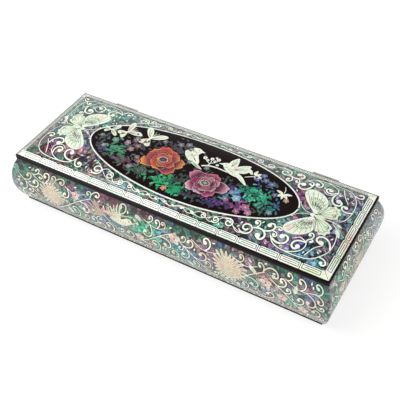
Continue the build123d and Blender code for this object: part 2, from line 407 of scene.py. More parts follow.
class Scrolls:
    """Scroll work that grows from its stems until it fills a field."""

    CELL = 0.4  # the map's cells
    JOINT = 1.0  # how much wider than a scroll the dark joint round it is
    LEAN, STRETCH, SWEEP = (0.25, 0.75), (0.92, 1.08), (4.9, 5.9)  # a tendril's first turn, growth and whole turn
    ROOM, HOLD = 0.78, 0.6  # how far round its line a tendril has to be free, and how far it then holds
    PARENT = 3.4  # the smallest tendril that others can leave
    BUD = 0.35  # how far round its outline a bud has to be free

    def __init__(self, layer: Marquetry, inside: Callable[[np.ndarray], np.ndarray], reach: tuple[float, float],
                 tint: Colour, seed: int, bold: float = 1.0) -> None:
        """Takes the field to fill.

        Args:
            layer: where the shapes are laid.
            inside: tells which plan points lie in the field.
            reach: half the field's length and height, for the map of what is taken.
            tint: the shell's colour.
            seed: fixes the small differences between tendrils.
            bold: scales every line's width.
        """
        self.layer, self.inside, self.tint, self.bold = layer, inside, tint, bold
        self.chance = random.Random(seed)
        self.reach = reach
        self.taken = np.zeros([int(2 * r / self.CELL) + 8 for r in reach], bool)
        self.stems: list[tuple[np.ndarray, float, int]] = []
        self.tones = [tint]
        self.bed = Marquetry(layer.surface, Level.BED)

    def _cut(self, line: Line, width: float, tone: Colour, end: float, knob: float = 0.0) -> None:
        """Lays one scroll and the dark joint round it."""
        self.layer.strip(line, width, tone, end)
        self.bed.strip(line, width + self.JOINT, tone, end)
        if knob:
            self.layer.dot(line[-1], knob, tone, 0.012)
            self.bed.dot(line[-1], knob + 0.45, tone, 0.006)

    def _cells(self, points: np.ndarray, radius: float) -> tuple[np.ndarray, np.ndarray]:
        """Gives the map cells within radius of the points."""
        ring = [(0.0, 0.0)]
        for share in (0.5, 1.0):
            ring += [(radius * share * math.cos(a), radius * share * math.sin(a))
                     for a in np.linspace(0, 2 * math.pi, 8, endpoint=False)]
        spots = (points[:, None, :] + np.array(ring)[None]).reshape(-1, 2)
        i, j = (np.clip(((spots[:, k] + self.reach[k]) / self.CELL).astype(int) + 2, 0, self.taken.shape[k] - 1)
                for k in (0, 1))
        return i, j

    def free(self, points: np.ndarray, radius: float) -> bool:
        """Tells whether a shape has room in the field."""
        return bool(self.inside(points).all()) and not self.taken[self._cells(points, radius)].any()

    def take(self, points: np.ndarray, radius: float) -> None:
        """Marks a shape's place as taken."""
        self.taken[self._cells(points, radius)] = True

    def stem(self, points: Path, width: float = 1.15) -> None:
        """Lays a main stem and remembers where tendrils can leave it."""
        line = smooth(points, 12)
        self._cut(line, width * self.bold, self.tint, 0.75)
        self.take(line, 0.75)
        self._sprout(line, 4.2)

    def _sprout(self, line: Line, gap: float) -> None:
        """Lists places along a line where a tendril can start, on both sides of it."""
        steps = np.linalg.norm(np.diff(line, axis=0), axis=1)
        far = np.concatenate([[0], np.cumsum(steps)])
        for k, at in enumerate(np.arange(gap * 0.6, far[-1], gap)):
            i = min(int(np.searchsorted(far, at)), len(line) - 2)
            run = line[i + 1] - line[i - 1] if i else line[1] - line[0]
            heading = math.atan2(run[1], run[0])
            for hand in ((1, -1) if k % 2 else (-1, 1)):
                self.stems.append((line[i], heading, hand))

    def grow(self, sizes: Sequence[float], rounds: int = 3) -> None:
        """Fills the field with tendrils, the large ones first.

        Args:
            sizes: the widths to try, from large to small.
            rounds: how many times new tendrils may leave the last ones.
        """
        for _ in range(rounds):
            starts, self.stems = self.stems, []
            self.chance.shuffle(starts)
            for size in sizes:
                starts = [start for start in starts if not self._tendril(*start, size)]

    def _tendril(self, start: np.ndarray, heading: float, hand: int, size: float) -> bool:
        """Lays one tendril if it has room."""
        lean = self.chance.uniform(*self.LEAN)
        line = curl(start, heading + hand * lean, size * self.chance.uniform(*self.STRETCH), hand,
                    self.chance.uniform(*self.SWEEP))
        body = line[3:]
        knob = size * 0.16 + 0.42
        if not self.free(body, self.ROOM):
            return False
        self.take(body, self.HOLD)
        self.take(line[-1:], knob + 0.4)
        width = (0.72 + size * 0.07) * self.bold
        self._cut(line, width, self.chance.choice(self.tones), 1.25, knob * self.bold)
        if size > self.PARENT:
            self._sprout(line[:14], max(size * 0.42, 1.8))
        return True

    def volute(self, centre: Spot, radius: float, side: int) -> None:
        """Lays one tight curl that fills the pocket under a wave of the stem.

        Args:
            centre: the pocket's middle.
            radius: the curl's outer radius.
            side: 1 where the stem passes over it and -1 where it passes under.
        """
        t = np.linspace(0, 1, 26)
        reach = radius * (1 - 0.74 * t)
        angle = math.pi - side * (2 * math.pi * 1.3 * t + 0.5)
        line = np.stack([centre[0] + reach * np.cos(angle) * 1.1, centre[1] + reach * np.sin(angle)], axis=1)
        width = (0.5 + radius * 0.13) * self.bold
        self._cut(line, width, self.tint, 1.2, width * 0.8)
        self.take(line, 0.8)
        self.take(np.array([centre]), radius * 0.6)

    def seeds(self, count: int, size: float) -> None:
        """Tries count places for small buds of half length size in what room is left."""
        for _ in range(count):
            place = np.array([self.chance.uniform(-r, r) for r in self.reach])
            angle = self.chance.uniform(0, 2 * math.pi)
            bud = turned(LEAF, angle, place, size)
            if self.free(bud, self.BUD):
                self.take(bud, self.BUD)
                self.take(place[None], size * 0.6)
                self.layer.plate(bud, self.tint, rings=1)


def leaf_outline(lobes: int, count: int = 22) -> np.ndarray:
    """Draws a pointed leaf one unit long each way from its middle, with toothed edges.

    Args:
        lobes: teeth on each edge, or 0 for a smooth leaf.
        count: points on the outline.

    Returns:
        The outline, tip to +X.
    """
    t = np.linspace(0, 1, count // 2 + 1)
    half = 0.42 * np.sin(math.pi * t ** 0.8) ** 0.9
    if lobes:
        half = half * (0.74 + 0.26 * np.abs(np.sin(math.pi * lobes * t)))
    x = 2 * t - 1
    upper, lower = np.stack([x, half], 1), np.stack([x, -half], 1)
    return np.vstack([lower, upper[::-1][1:-1]])


LEAF = leaf_outline(0, 12)
TOOTHED = leaf_outline(3, 26)


# ------------------------------------------------------------------ finishes
def node(tree: Tree, kind: str, links: dict | None = None, **settings) -> bpy.types.Node:
    """Adds a shader node.

    Args:
        tree: the node tree that it joins.
        kind: the node's type name.
        links: input name or number to an output socket, or to a plain value.
        **settings: the node's own properties.

    Returns:
        The node.
    """
    made = tree.nodes.new(kind)
    for key, value in settings.items():
        setattr(made, key, value)
    for key, value in (links or {}).items():
        if isinstance(value, Socket):
            tree.links.new(value, made.inputs[key])
        else:
            made.inputs[key].default_value = value
    return made


def noise(tree: Tree, place: Socket, size_mm: float, detail: float = 3.0, rough: float = 0.5) -> Socket:
    """Adds a noise whose features are about size_mm across and gives its grey value."""
    return node(tree, "ShaderNodeTexNoise",
                {"Vector": place, "Scale": 1000 / size_mm, "Detail": detail, "Roughness": rough}).outputs["Fac"]


def ramp(tree: Tree, factor: Socket, stops: Sequence[tuple[float, str]], mode: str = "LINEAR") -> Socket:
    """Adds a colour ramp and gives its colour; each stop is a place and an sRGB hex colour."""
    made = node(tree, "ShaderNodeValToRGB", {"Fac": factor})
    made.color_ramp.interpolation = mode
    stock = made.color_ramp.elements
    while len(stock) < len(stops):
        stock.new(0.5)
    for element, (place, shade) in zip(stock, stops):
        element.position, element.color = place, linear(shade)
    return made.outputs["Color"]


def mixed(tree: Tree, share: Socket | float, a: Socket | Colour, b: Socket | Colour, how: str = "MIX") -> Socket:
    """Adds a colour mix of a and b and gives its result."""
    return node(tree, "ShaderNodeMix", {0: share, 6: a, 7: b}, data_type="RGBA", blend_type=how).outputs[2]


def darkened(tree: Tree, body: Socket, covers: Sequence[tuple[float, Socket]]) -> Socket:
    """Multiplies a colour by each cover in turn, as strongly as that cover's share."""
    for share, cover in covers:
        body = mixed(tree, share, body, cover, "MULTIPLY")
    return body


def spanned(tree: Tree, value: Socket, low: float, high: float) -> Socket:
    """Spreads a pattern's 0 to 1 over low to high."""
    return node(tree, "ShaderNodeMapRange", {"Value": value, "To Min": low, "To Max": high}).outputs["Result"]


def bumped(tree: Tree, height: Socket, strength: float, distance: float) -> Socket:
    """Turns a pattern into a bump and gives its normal."""
    return node(tree, "ShaderNodeBump",
                {"Height": height, "Strength": strength, "Distance": distance}).outputs["Normal"]


@dataclass(frozen=True)
class Finish:
    """A real material and how its surface was made.

    FIXED holds the shader's constants, and paint gives what its patterns drive.
    """

    FIXED: ClassVar[dict[str, float]] = {}
    name: str

    def build(self) -> bpy.types.Material:
        """Makes the material once and gives it again after that."""
        known = bpy.data.materials.get(self.name)
        if known:
            return known
        material = bpy.data.materials.new(self.name)
        material.use_nodes = True
        tree = material.node_tree
        tree.nodes.clear()
        driven = self.paint(tree, node(tree, "ShaderNodeTexCoord").outputs["Object"])
        shader = node(tree, "ShaderNodeBsdfPrincipled", self.FIXED | driven)
        out = node(tree, "ShaderNodeOutputMaterial", {"Surface": shader.outputs["BSDF"]})
        out.is_active_output = True
        return material

    def paint(self, tree: Tree, place: Socket) -> dict[str, Socket]:
        """Adds the patterns and gives the socket that drives each of the shader's inputs."""
        raise NotImplementedError


@dataclass(frozen=True)
class BlackLacquer(Finish):
    """Many coats of black lacquer, rubbed down and polished: near black with a deep, slightly soft gloss."""

    FIXED: ClassVar[dict[str, float]] = {"Specular IOR Level": 0.05}
    name: str = "black_lacquer_polished"

    def paint(self, tree: Tree, place: Socket) -> dict[str, Socket]:
        """Adds faint cloudiness, rubbing marks and brush waviness."""
        return {"Base Color": mixed(tree, noise(tree, place, 18), linear("#120c0d"), linear("#1d1314")),
                "Roughness": spanned(tree, noise(tree, place, 3.5, 5), 0.14, 0.26),
                "Normal": bumped(tree, noise(tree, place, 9, 2), 0.05, 0.0006)}


@dataclass(frozen=True)
class WhiteShell(Finish):
    """White mother-of-pearl, sawn, glued and polished flush: silky, with faint rose and green clouds."""

    FIXED: ClassVar[dict[str, float]] = {"Roughness": 0.35, "Specular IOR Level": 0.25, "Coat Weight": 0.8,
                                         "Coat Roughness": 0.08}
    name: str = "white_shell_polished"
    lustre: float = 0.22

    def paint(self, tree: Tree, place: Socket) -> dict[str, Socket]:
        """Tints each cut piece by its own colour and adds the growth lines."""
        tint = node(tree, "ShaderNodeAttribute", attribute_name="tint", attribute_type="GEOMETRY")
        pearl = ramp(tree, noise(tree, place, 7, 2), [
            (0.30, "#e9d3da"), (0.42, "#f6f4ee"), (0.52, "#d8ecdf"), (0.60, "#fbfaf6"), (0.70, "#d6dcef")])
        lines = node(tree, "ShaderNodeTexWave", {"Vector": place, "Scale": 1000 / 2.6, "Distortion": 7.0,
                                                 "Detail": 2.0, "Detail Scale": 1.2})
        streak = ramp(tree, lines.outputs["Fac"], [(0.0, "#b9b9b9"), (0.5, "#ffffff")])
        return {"Base Color": darkened(tree, tint.outputs["Color"], [(1.0, pearl), (self.lustre, streak)])}


@dataclass(frozen=True)
class AbaloneShell(Finish):
    """Abalone shell in small broken pieces under polished lacquer: bright shifting patches with dark joints."""

    FIXED: ClassVar[dict[str, float]] = {"Roughness": 0.35, "Specular IOR Level": 0.2, "Coat Weight": 0.9,
                                         "Coat Roughness": 0.06}
    name: str = "abalone_shell_in_lacquer"
    patch: float = 7.0
    chip: float = 3.0
    gloom: float = 0.30
    own: float = 0.60

    def paint(self, tree: Tree, place: Socket) -> dict[str, Socket]:
        """Breaks the zone's colour into patches, chips, growth lines and dark joints."""
        tint = node(tree, "ShaderNodeAttribute", attribute_name="tint", attribute_type="GEOMETRY")
        shift = noise(tree, place, 9).node.outputs["Color"]
        bent = node(tree, "ShaderNodeVectorMath", {0: shift, "Scale": 0.009}, operation="SCALE")
        moved = node(tree, "ShaderNodeVectorMath", {0: place, 1: bent.outputs["Vector"]}, operation="ADD")
        patch, chip, joint = (node(tree, "ShaderNodeTexVoronoi", {
            "Vector": moved.outputs["Vector"], "Scale": 1000 / size}, feature=kind)
            for size, kind in ((self.patch, "F1"), (self.chip, "F1"), (self.chip, "DISTANCE_TO_EDGE")))
        by_patch, by_chip = (node(tree, "ShaderNodeSeparateColor", {"Color": cells.outputs["Color"]})
                             for cells in (patch, chip))
        hues = ramp(tree, by_patch.outputs["Red"], [
            (0.00, "#18b07c"), (0.13, "#54dcb8"), (0.26, "#7c68b0"), (0.36, "#c4d0cc"), (0.48, "#cc5480"),
            (0.55, "#3c94d4"), (0.63, "#a49ca8"), (0.76, "#28cc9c"), (0.88, "#f0c4d4")], "CONSTANT")
        level = ramp(tree, by_chip.outputs["Green"], [
            (0.00, "#1a1418"), (self.gloom * 0.6, "#58525a"), (self.gloom, "#b4b4b4"), (0.60, "#e6e6e6"),
            (0.82, "#ffffff")], "CONSTANT")
        growth = node(tree, "ShaderNodeTexWave", {
            "Vector": moved.outputs["Vector"], "Scale": 1000 / 11, "Distortion": 8.0, "Detail": 3.0},
            bands_direction="DIAGONAL")
        lines = ramp(tree, growth.outputs["Fac"], [(0.0, "#58505c"), (0.4, "#ffffff")])
        dark = ramp(tree, joint.outputs["Distance"], [(0.03, "#140c10"), (0.08, "#ffffff")])
        body = mixed(tree, self.own, hues, tint.outputs["Color"])
        return {"Base Color": darkened(tree, body, [(0.92, level), (0.5, lines), (0.85, dark)])}


@dataclass(frozen=True)
class WhiteBrass(Finish):
    """White brass, an alloy with nickel: pale grey-gold, duller and browner where hands haven't rubbed it."""

    FIXED: ClassVar[dict[str, float]] = {"Metallic": 1.0}
    name: str = "white_brass_aged"

    def paint(self, tree: Tree, place: Socket) -> dict[str, Socket]:
        """Adds tarnish blotches and fine handling scratches."""
        blotch = noise(tree, place, 4, 5, 0.6)
        return {"Base Color": ramp(tree, blotch, [(0.32, "#b4ae9c"), (0.46, "#dcd9d0"), (0.66, "#f2f0ea")]),
                "Roughness": spanned(tree, blotch, 0.36, 0.18),
                "Normal": bumped(tree, noise(tree, place, 0.5, 2), 0.2, 0.0001)}


@dataclass(frozen=True)
class Pile(Finish):
    """Cut pile or pressed felt: matt, soft at grazing angles, slightly uneven where it was brushed."""

    FIXED: ClassVar[dict[str, float]] = {"Roughness": 0.95, "Specular IOR Level": 0.15, "Sheen Weight": 0.6,
                                         "Sheen Roughness": 0.4}
    name: str = "velvet_red"
    low: str = "#3a0710"
    high: str = "#6e1420"
    fibre: float = 0.7

    def paint(self, tree: Tree, place: Socket) -> dict[str, Socket]:
        """Adds brushed clouds and fibres, drawn coarser than the real pile so that they show."""
        hair = noise(tree, place, self.fibre, 3, 0.7)
        body = mixed(tree, noise(tree, place, 14), linear(self.low), linear(self.high))
        grain = ramp(tree, hair, [(0.3, "#8c8c8c"), (0.7, "#ffffff")])
        return {"Base Color": darkened(tree, body, [(1.0, grain)]), "Normal": bumped(tree, hair, 0.5, 0.0003)}


VELVET = Pile()
FELT = Pile("felt_green", "#16241a", "#26382a", 1.1)
LACQUER = BlackLacquer()
SHELL = WhiteShell()
COLOURED = WhiteShell("coloured_shell_polished", 0.5)
ABALONE = AbaloneShell()
WALL_ABALONE = AbaloneShell("abalone_shell_on_walls", 9.0, 4.2, 0.16, 0.68)
BRASS = WhiteBrass()


def pick(piece: bpy.types.Object) -> None:
    """Selects one object and nothing else."""
    bpy.ops.object.select_all(action="DESELECT")
    piece.select_set(True)
    bpy.context.view_layer.objects.active = piece


def dress(piece: bpy.types.Object, finish: Finish, body: str) -> bpy.types.Object:
    """Gives a piece its material and its body, and reports it."""
    piece.data.materials.clear()
    piece.data.materials.append(finish.build())
    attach(piece, body)
    log.info("%s: %d faces, %s", piece.name, len(piece.data.polygons), finish.name)
    return piece


def paint_node(name: str, finish: Finish) -> None:
    """Gives a CAD node its material."""
    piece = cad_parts[name]
    piece.data.materials.clear()
    piece.data.materials.append(finish.build())
    log.info("%s: %s", name, finish.name)


# ------------------------------------------------------------------ grounds
BASE_WEIGHT = 0.35  # how strongly the base colour shows among the zones
ZONE_FALL = 1.2  # how fast a zone fades past its spread


@dataclass(frozen=True)
class Zone:
    """A soft patch of one colour on a ground."""

    u: float
    v: float
    spread_u: float
    spread_v: float
    shade: str
    weight: float = 1.0


def zoned(points: np.ndarray, zones: Sequence[tuple], base: str) -> np.ndarray:
    """Colours points by the zones near them.

    Args:
        points: plan points.
        zones: one row of a Zone's values for each soft patch.
        base: the colour away from them all.

    Returns:
        One linear colour for each point.
    """
    total = np.full(len(points), BASE_WEIGHT)
    shade = np.tile(np.array(linear(base)), (len(points), 1)) * BASE_WEIGHT
    for z in (Zone(*row) for row in zones):
        far = ((points[:, 0] - z.u) / z.spread_u) ** 2 + ((points[:, 1] - z.v) / z.spread_v) ** 2
        share = z.weight * np.exp(-far * ZONE_FALL)
        total += share
        shade += share[:, None] * np.array(linear(z.shade))
    shade /= total[:, None]
    shade[:, 3] = 1
    return shade


def grid(rows: int, columns: int) -> list[tuple[int, ...]]:
    """Lists the faces between the points of a grid that is numbered row by row."""
    return [(j * columns + i, j * columns + i + 1, (j + 1) * columns + i + 1, (j + 1) * columns + i)
            for j in range(rows - 1) for i in range(columns - 1)]


def ground(surface: Surface, us: np.ndarray, vs: np.ndarray, zones: Sequence[tuple], base: str) -> Marquetry:
    """Lays a whole sheet over a surface, as a grid of small faces with the zones' colours."""
    layer = Marquetry(surface, Level.GROUND)
    u, v = np.meshgrid(us, vs)
    points = np.stack([u.ravel(), v.ravel()], axis=1)
    layer.add(points, zoned(points, zones, base), grid(len(vs), len(us)), 0.0)
    return layer


# ------------------------------------------------------------------ the lid
@dataclass
class Lid:
    """The crowned lid: fret border, scroll field, oval picture, butterflies and pad."""

    WAVE_STEP: ClassVar[float] = 1.5
    CORNER: ClassVar[tuple] = (  # each corner's stems: width and path
        (1.0, ((101, 36), (108, 44), (120, 46), (131, 41), (133, 33), (126, 29), (120, 33))),
        (0.95, ((112, 45.6), (128, 46.6), (143, 44), (151, 34), (153, 22), (151, 10), (147, 3.5))),
        (1.0, ((136, 44), (140, 35), (146, 27))))
    # The grey zones along the back edge, at v 42 to 47, and the grey-green one at the left end, at (-150, 10), are
    # partly painted reflection: the washed-out sheen of the crown's back and left slopes, mixed into the shell's own
    # colours.
    FIELD_ZONES: ClassVar[tuple] = (
        (-130, 38, 32, 16, "#20cc98"), (-95, 44, 30, 8, "#28d0a0"), (-60, 47, 40, 6, "#90b8ac"),
        (-135, -36, 18, 12, "#b02848", 1.2), (-112, -30, 14, 10, "#e83058"), (-100, -44, 18, 7, "#18a860"),
        (-150, -20, 10, 20, "#282024", 1.5), (-122, -46, 18, 5, "#2c2428", 1.3), (-84, -43, 14, 7, "#c83c60"),
        (-70, -44, 16, 6, "#2c2830", 1.3), (-40, -46, 26, 6, "#68a898"), (-10, -46, 18, 6, "#20cc94"),
        (20, -46, 18, 6, "#b04868"), (45, -44, 16, 6, "#30c898"), (70, -42, 16, 7, "#b04464"),
        (88, -38, 12, 8, "#30d0a0"), (104, -40, 12, 8, "#e8a0e4", 1.2), (120, -44, 14, 6, "#b090e4"),
        (140, -46, 16, 5, "#40c8ff", 1.4), (130, -30, 16, 10, "#6c64b4", 1.1),
        (148, -28, 10, 16, "#544c68", 1.2), (150, 0, 9, 16, "#c4c0d4"), (145, 30, 14, 14, "#b4c0e0"),
        (125, 42, 16, 8, "#98a4a8"), (98, 44, 18, 8, "#24d4a0", 1.2), (60, 47, 26, 6, "#8a9290"),
        (0, 47, 50, 5, "#8c9c94"), (112, 18, 8, 10, "#e04c98"), (-112, 14, 8, 12, "#28b4a4"),
        (-112, -12, 8, 12, "#56506a"), (112, -14, 8, 12, "#ac90c4"), (-150, 10, 9, 16, "#84c4b4"))
    # The last zone greys the whole left band: painted shade, the left slope lying duller than the front and right
    # ones. The others are the shell's own tints.
    BAND_ZONES: ClassVar[tuple] = (
        (165, -10, 6, 10, "#e0bca4"), (165, -30, 6, 8, "#bcdcac"), (-60, -57, 20, 6, "#cce0d0"),
        (40, -57, 22, 6, "#d0e4d8"), (150, -57, 14, 6, "#dce8c0"), (-165, 0, 7, 60, "#b4b8a8", 1.3))

    sizes: BoxSizes = SIZES
    cream: Colour = linear("#f2f1e8")
    ink: Colour = linear("#1c1a1a")
    cell_long: float = 18.45
    cell_end: float = 19.4
    key_half: float = 1.6
    mitre_gap: float = 0.4

    def build(self) -> None:
        """Builds and dresses every piece of the lid."""
        paint_node("lid_board", LACQUER)
        for side in ("left", "right"):
            paint_node(f"{side}_hinge_lid_leaf", BRASS)
        paint_node("hinge_lid_screws", BRASS)
        self.field_ground()
        self.field_scrolls()
        for side in Side:
            self.fret(side)
        self.ring()
        for hand, name in ((1, "left_butterfly"), (-1, "right_butterfly")):
            self.large_butterfly(hand, name)
        Picture(self).build()
        self.pad()

    def field_ground(self) -> None:
        """Lays the abalone ground inside the fret border."""
        s = self.sizes
        half_u, half_v = s.length / 2 - s.border, s.width / 2 - s.border
        layer = ground(Crown(), np.linspace(-half_u, half_u, 158), np.linspace(-half_v, half_v, 50),
                       self.FIELD_ZONES, "#5a5c62")
        piece = layer.lay("field_ground", ABALONE, "abalone_lacquer", "lid")
        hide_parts("field_inlay")

    def inside_field(self, points: np.ndarray) -> np.ndarray:
        """Tells which points lie in the scroll field, clear of border, ring and butterflies."""
        s = self.sizes
        x, y = np.abs(points[:, 0]), np.abs(points[:, 1])
        edge = s.border + 1.2
        inside = (x < s.length / 2 - edge) & (y < s.width / 2 - edge)
        inside &= (x / (s.medallion_long + s.ring)) ** 2 + (y / (s.medallion_wide + s.ring)) ** 2 > 1
        wing, tail, bud = (((x - u) / long) ** 2 + ((height - v) / wide) ** 2 < 1 for height, u, v, long, wide in (
            (y, 118, 17.5, 12.0, 13.5), (y, 137.5, 10.5, 10.5, 9.5), (points[:, 1], 151, -8.6, 4.5, 4.5)))
        body = (y < 2.4) & (x < 150)
        return inside & ~wing & ~tail & ~bud & ~body

    def field_scrolls(self) -> None:
        """Grows the white scrolls round the picture and in the four corners."""
        s = self.sizes
        layer = Marquetry(Crown(), Level.SCROLLS)
        scrolls = Scrolls(layer, self.inside_field, (s.length / 2, s.width / 2), self.cream, 11)
        for hand_v in (-1, 1):
            wave, second, knots, phase = [], [], [], 0.6
            for x in np.arange(-86, 86.1, self.WAVE_STEP):
                rim = s.medallion_wide * math.sqrt(1 - (x / (s.medallion_long + 1)) ** 2)
                low, high = rim + 1.9, s.width / 2 - s.border - 1.7
                middle, reach = (low + high) / 2, (high - low) / 2
                step = self.WAVE_STEP * 2 * math.pi / (13 + 2.7 * reach)
                phase += step
                wave.append((x, hand_v * (middle + 0.86 * reach * math.sin(phase))))
                second.append((x, hand_v * (middle - 0.8 * reach * math.sin(0.63 * phase + 0.7))))
                if math.cos(phase - 0.8) * math.cos(phase - 0.8 - step) < 0:
                    knots.append((x, hand_v * middle, reach, hand_v * (1 if math.sin(phase) > 0 else -1)))
            scrolls.stem(wave[::2], 0.8)
            layer.strip(smooth(second[::2], 3), 0.55, self.cream, 0.8, -0.006)
            for x, y, reach, side in knots:
                if reach > 2.7:
                    scrolls.volute((x, y + side * 0.05 * reach), 0.70 * reach + 0.45, side)
                else:
                    bud = turned(LEAF, 0.5 * side, (x, y + 0.2 * side * reach), 1.05 * reach)
                    layer.plate(bud, self.cream, rings=1)
            for hand_u in (-1, 1):
                for width, path in self.CORNER:
                    scrolls.stem([(hand_u * x, hand_v * y) for x, y in path], width)
        scrolls.grow((12.5, 10.5, 8.8, 7.4, 6.2, 5.2, 4.4, 3.6, 3.0, 2.5), 4)
        scrolls.seeds(700, 1.5)
        layer.lay("field_scrolls", SHELL, "white_shell", "lid")
        scrolls.bed.lay("field_scroll_bed", LACQUER, "lacquered_wood", "lid")

    def fret(self, side: Side) -> None:
        """Lays one mitred border band of white shell with its fine black key pattern."""
        s, name = self.sizes, side.name.lower()
        half, depth = Wall(side).halves()
        turn = math.radians(side.value)
        band, rim, lines = (Marquetry(Crown(), level) for level in (Level.GROUND, Level.GROUND, Level.LINES))
        for layer, near, far in ((band, s.rim_strip, s.border), (rim, 0.05, s.rim_strip)):
            rings, steps = np.linspace(near, far, 6), int(half)
            across = np.linspace(-1, 1, steps)
            plan = np.vstack([np.stack([np.clip(across * (half - d), -(half - 0.6), half - 0.6),
                                        np.full(steps, -(depth - d))], axis=1) for d in rings])
            plan = turned(plan, turn, (0, 0))
            shade = zoned(plan, self.BAND_ZONES, "#f2f2ec")
            layer.add(plan, shade, grid(len(rings), steps), 0.0)
        piece = band.lay(f"{name}_fret", SHELL, "fret_inlay", "lid")
        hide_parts(f"{name}_fret_border")
        rim.lay(f"{name}_rim_strip", LACQUER, "lacquered_wood", "lid")

        reach = half - s.border - self.mitre_gap
        count = int((2 * (half - s.border) - 1) / (self.cell_long if side.along else self.cell_end))
        length = 2 * reach / count
        middle = -(depth - (s.border + s.rim_strip) / 2 + 0.12)
        a, b = length / 2 - self.key_half, self.key_half
        for k in range(count):
            centre = -reach + (k + 0.5) * length
            at = (centre, middle)
            self._rule(lines, [(-a, 0.0), (-a, b), (a, b), (a, -b), (-a, -b), (-a, 0.0)], turn, 0.5, at)
            self._rule(lines, [(2.2 - a, 0.0), (a - 2.2, 0.0)], turn, 0.42, at)
            if k:  # a bar between two cells, with a short foot towards the field
                x = centre - length / 2
                self._rule(lines, [(x, middle - 3.0), (x, middle + 3.0)], turn, 0.55)
                self._rule(lines, [(x - 0.5, middle + 2.7), (x + 1.9, middle + 2.7)], turn, 0.85)
        edge = s.border - 0.2  # the line along the field, then the mitre's own line
        self._rule(lines, [(-(half - edge), -(depth - edge)), (half - edge, -(depth - edge))], turn, 0.6)
        self._rule(lines, [(half - 7.9, -(depth - 7.9)), (half - 2.0, -(depth - 2.0))], turn, 0.3)
        lines.lay(f"{name}_fret_lines", LACQUER, "lacquered_wood", "lid")

    def _rule(self, layer: Marquetry, path: Path, turn: float, width: float,
              at: Spot = (0.0, 0.0)) -> None:
        """Cuts a run of straight lines with square corners, each in short lengths that follow the crown.

        Args:
            layer: where they are cut.
            path: the run's corners on the front side.
            turn: the turn in radians that brings the front side to theirs.
            width: the lines' width.
            at: what the corners are measured from.
        """
        path = np.array(path) + at
        for p, q in zip(path[:-1], path[1:]):
            far = float(np.linalg.norm(q - p))
            step = (q - p) / far * width / 2
            t = np.linspace(0, 1, max(2, int(far / 2.5) + 1))[:, None]
            line = (p - step) * (1 - t) + (q + step) * t
            layer.strip(turned(line, turn, (0, 0)), width, self.ink, blunt=True)

    def ring(self) -> None:
        """Lays the white ring round the picture."""
        s = self.sizes
        layer = Marquetry(Crown(), Level.WINGS)
        line = oval(s.medallion_long - s.ring / 2, s.medallion_wide - s.ring / 2, 180)
        layer.strip(np.vstack([line, line[:2]]), s.ring, linear("#f0f0ea"), blunt=True)
        piece = layer.lay("medallion_ring_shell", SHELL, "white_shell", "lid")
        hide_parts("medallion_ring")

    def large_butterfly(self, hand: int, name: str) -> None:
        """Lays one large butterfly with slit fore wings and scalloped hind wings, its head to the picture.

        Args:
            hand: 1 for the left one, which looks right.
            name: the CAD node that it stands for.
        """
        layer = Marquetry(Crown(), Level.WINGS)
        white, ink = linear("#eceee0"), self.ink
        pale = linear("#d6e4c8")

        def put(points: Path, flip: int) -> np.ndarray:
            """Moves a drawing to this butterfly's place, mirrored for its other wing and for the other one."""
            p = np.array(points, float) * [1, flip] + [-126.5, 0]
            return p * [hand, 1]

        fore = smooth([(1.4, 1.6), (9.5, 8.6), (16.4, 16.2), (19.2, 21.8), (18.6, 26.4), (14.6, 29.4), (8.2, 29.2),
                       (1.4, 26.2), (-3.6, 21.4), (-5.6, 15.6), (-4.2, 9.0), (-1.2, 3.0)], 5)
        hind = smooth([(-1.5, 1.4), (-4.6, 11.6), (-7.2, 16.6), (-9.2, 16.2), (-11.4, 19.2), (-13.6, 17.4),
                       (-16.4, 17.6), (-16.8, 14.4), (-19.2, 12.4), (-17.6, 9.4), (-18.4, 6.0), (-15.2, 3.6),
                       (-10.4, 1.8), (-4.0, 0.8)], 4)
        for flip in (1, -1):
            layer.plate(put(hind, flip), pale, white, put([(-10.0, 9.6)], flip)[0], 4, -0.012)
            layer.plate(put(fore, flip), white, pale, put([(5.0, 15.5)], flip)[0], 5)
            layer.strip(put(centre_scaled(fore, (5.0, 15.5), 0.985), flip), 0.3, ink, 1, 0.015)
            root = np.array([0.4, 1.6])
            margin = [(17.8, 25.4), (13.4, 28.2), (8.4, 28.0), (3.6, 26.0), (-0.6, 22.8), (-3.6, 18.8), (-4.6, 14.0)]
            for k, tip in enumerate(np.array(margin)):
                bow = np.array([0.9, -0.5]) * (1 - 0.25 * k)
                vein = smooth([root * 0.8 + tip * 0.2, root * 0.5 + tip * 0.5 + bow, tip], 6)
                layer.strip(put(vein, flip), 0.36, ink, 0.8, 0.02)
                for near, far in ((0.34, 0.56), (0.62, 0.74)) if 0 < k < 6 else ():
                    along = np.array(margin[k - 1]) * 0.5 + tip * 0.5
                    slit = [root * (1 - t) + along * t + bow * 0.8 for t in (near, (near + far) / 2, far)]
                    layer.strip(put(smooth(slit, 4), flip), 0.95 if near < 0.5 else 0.6, ink, 0.6, 0.022)
            band = smooth([(11.6, 15.6), (7.4, 19.6), (2.0, 19.0), (-2.4, 14.8)], 6)
            layer.strip(put(band, flip), 0.26, ink, 1, 0.02)
            layer.strip(put(centre_scaled(hind[8:46], (-8.6, 8.4), 0.72), flip), 0.34, ink, 1, 0.02)
            for tip in [(-6.6, 15.0), (-11.0, 17.4), (-15.4, 15.4), (-17.4, 11.6), (-16.8, 6.2)]:
                line = smooth([(-2.4, 2.4), (np.array(tip) * 0.5 + [-1.0, 0.6]), (np.array(tip) * 0.94)], 5)
                layer.strip(put(line, flip), 0.3, ink, 0.8, 0.02)
            layer.strip(put(curl((-12.6, 8.6), -2.0, 3.4, -1, 6.6), flip), 0.5, ink, 0.9, 0.024)
            layer.dot(put([(-11.6, 7.8)], flip)[0], 0.5, linear("#b8a850"), 0.026)
            feeler = smooth([(3.6, 0.6), (9.0, 1.6), (14.0, 4.6), (17.4, 9.0)], 6)
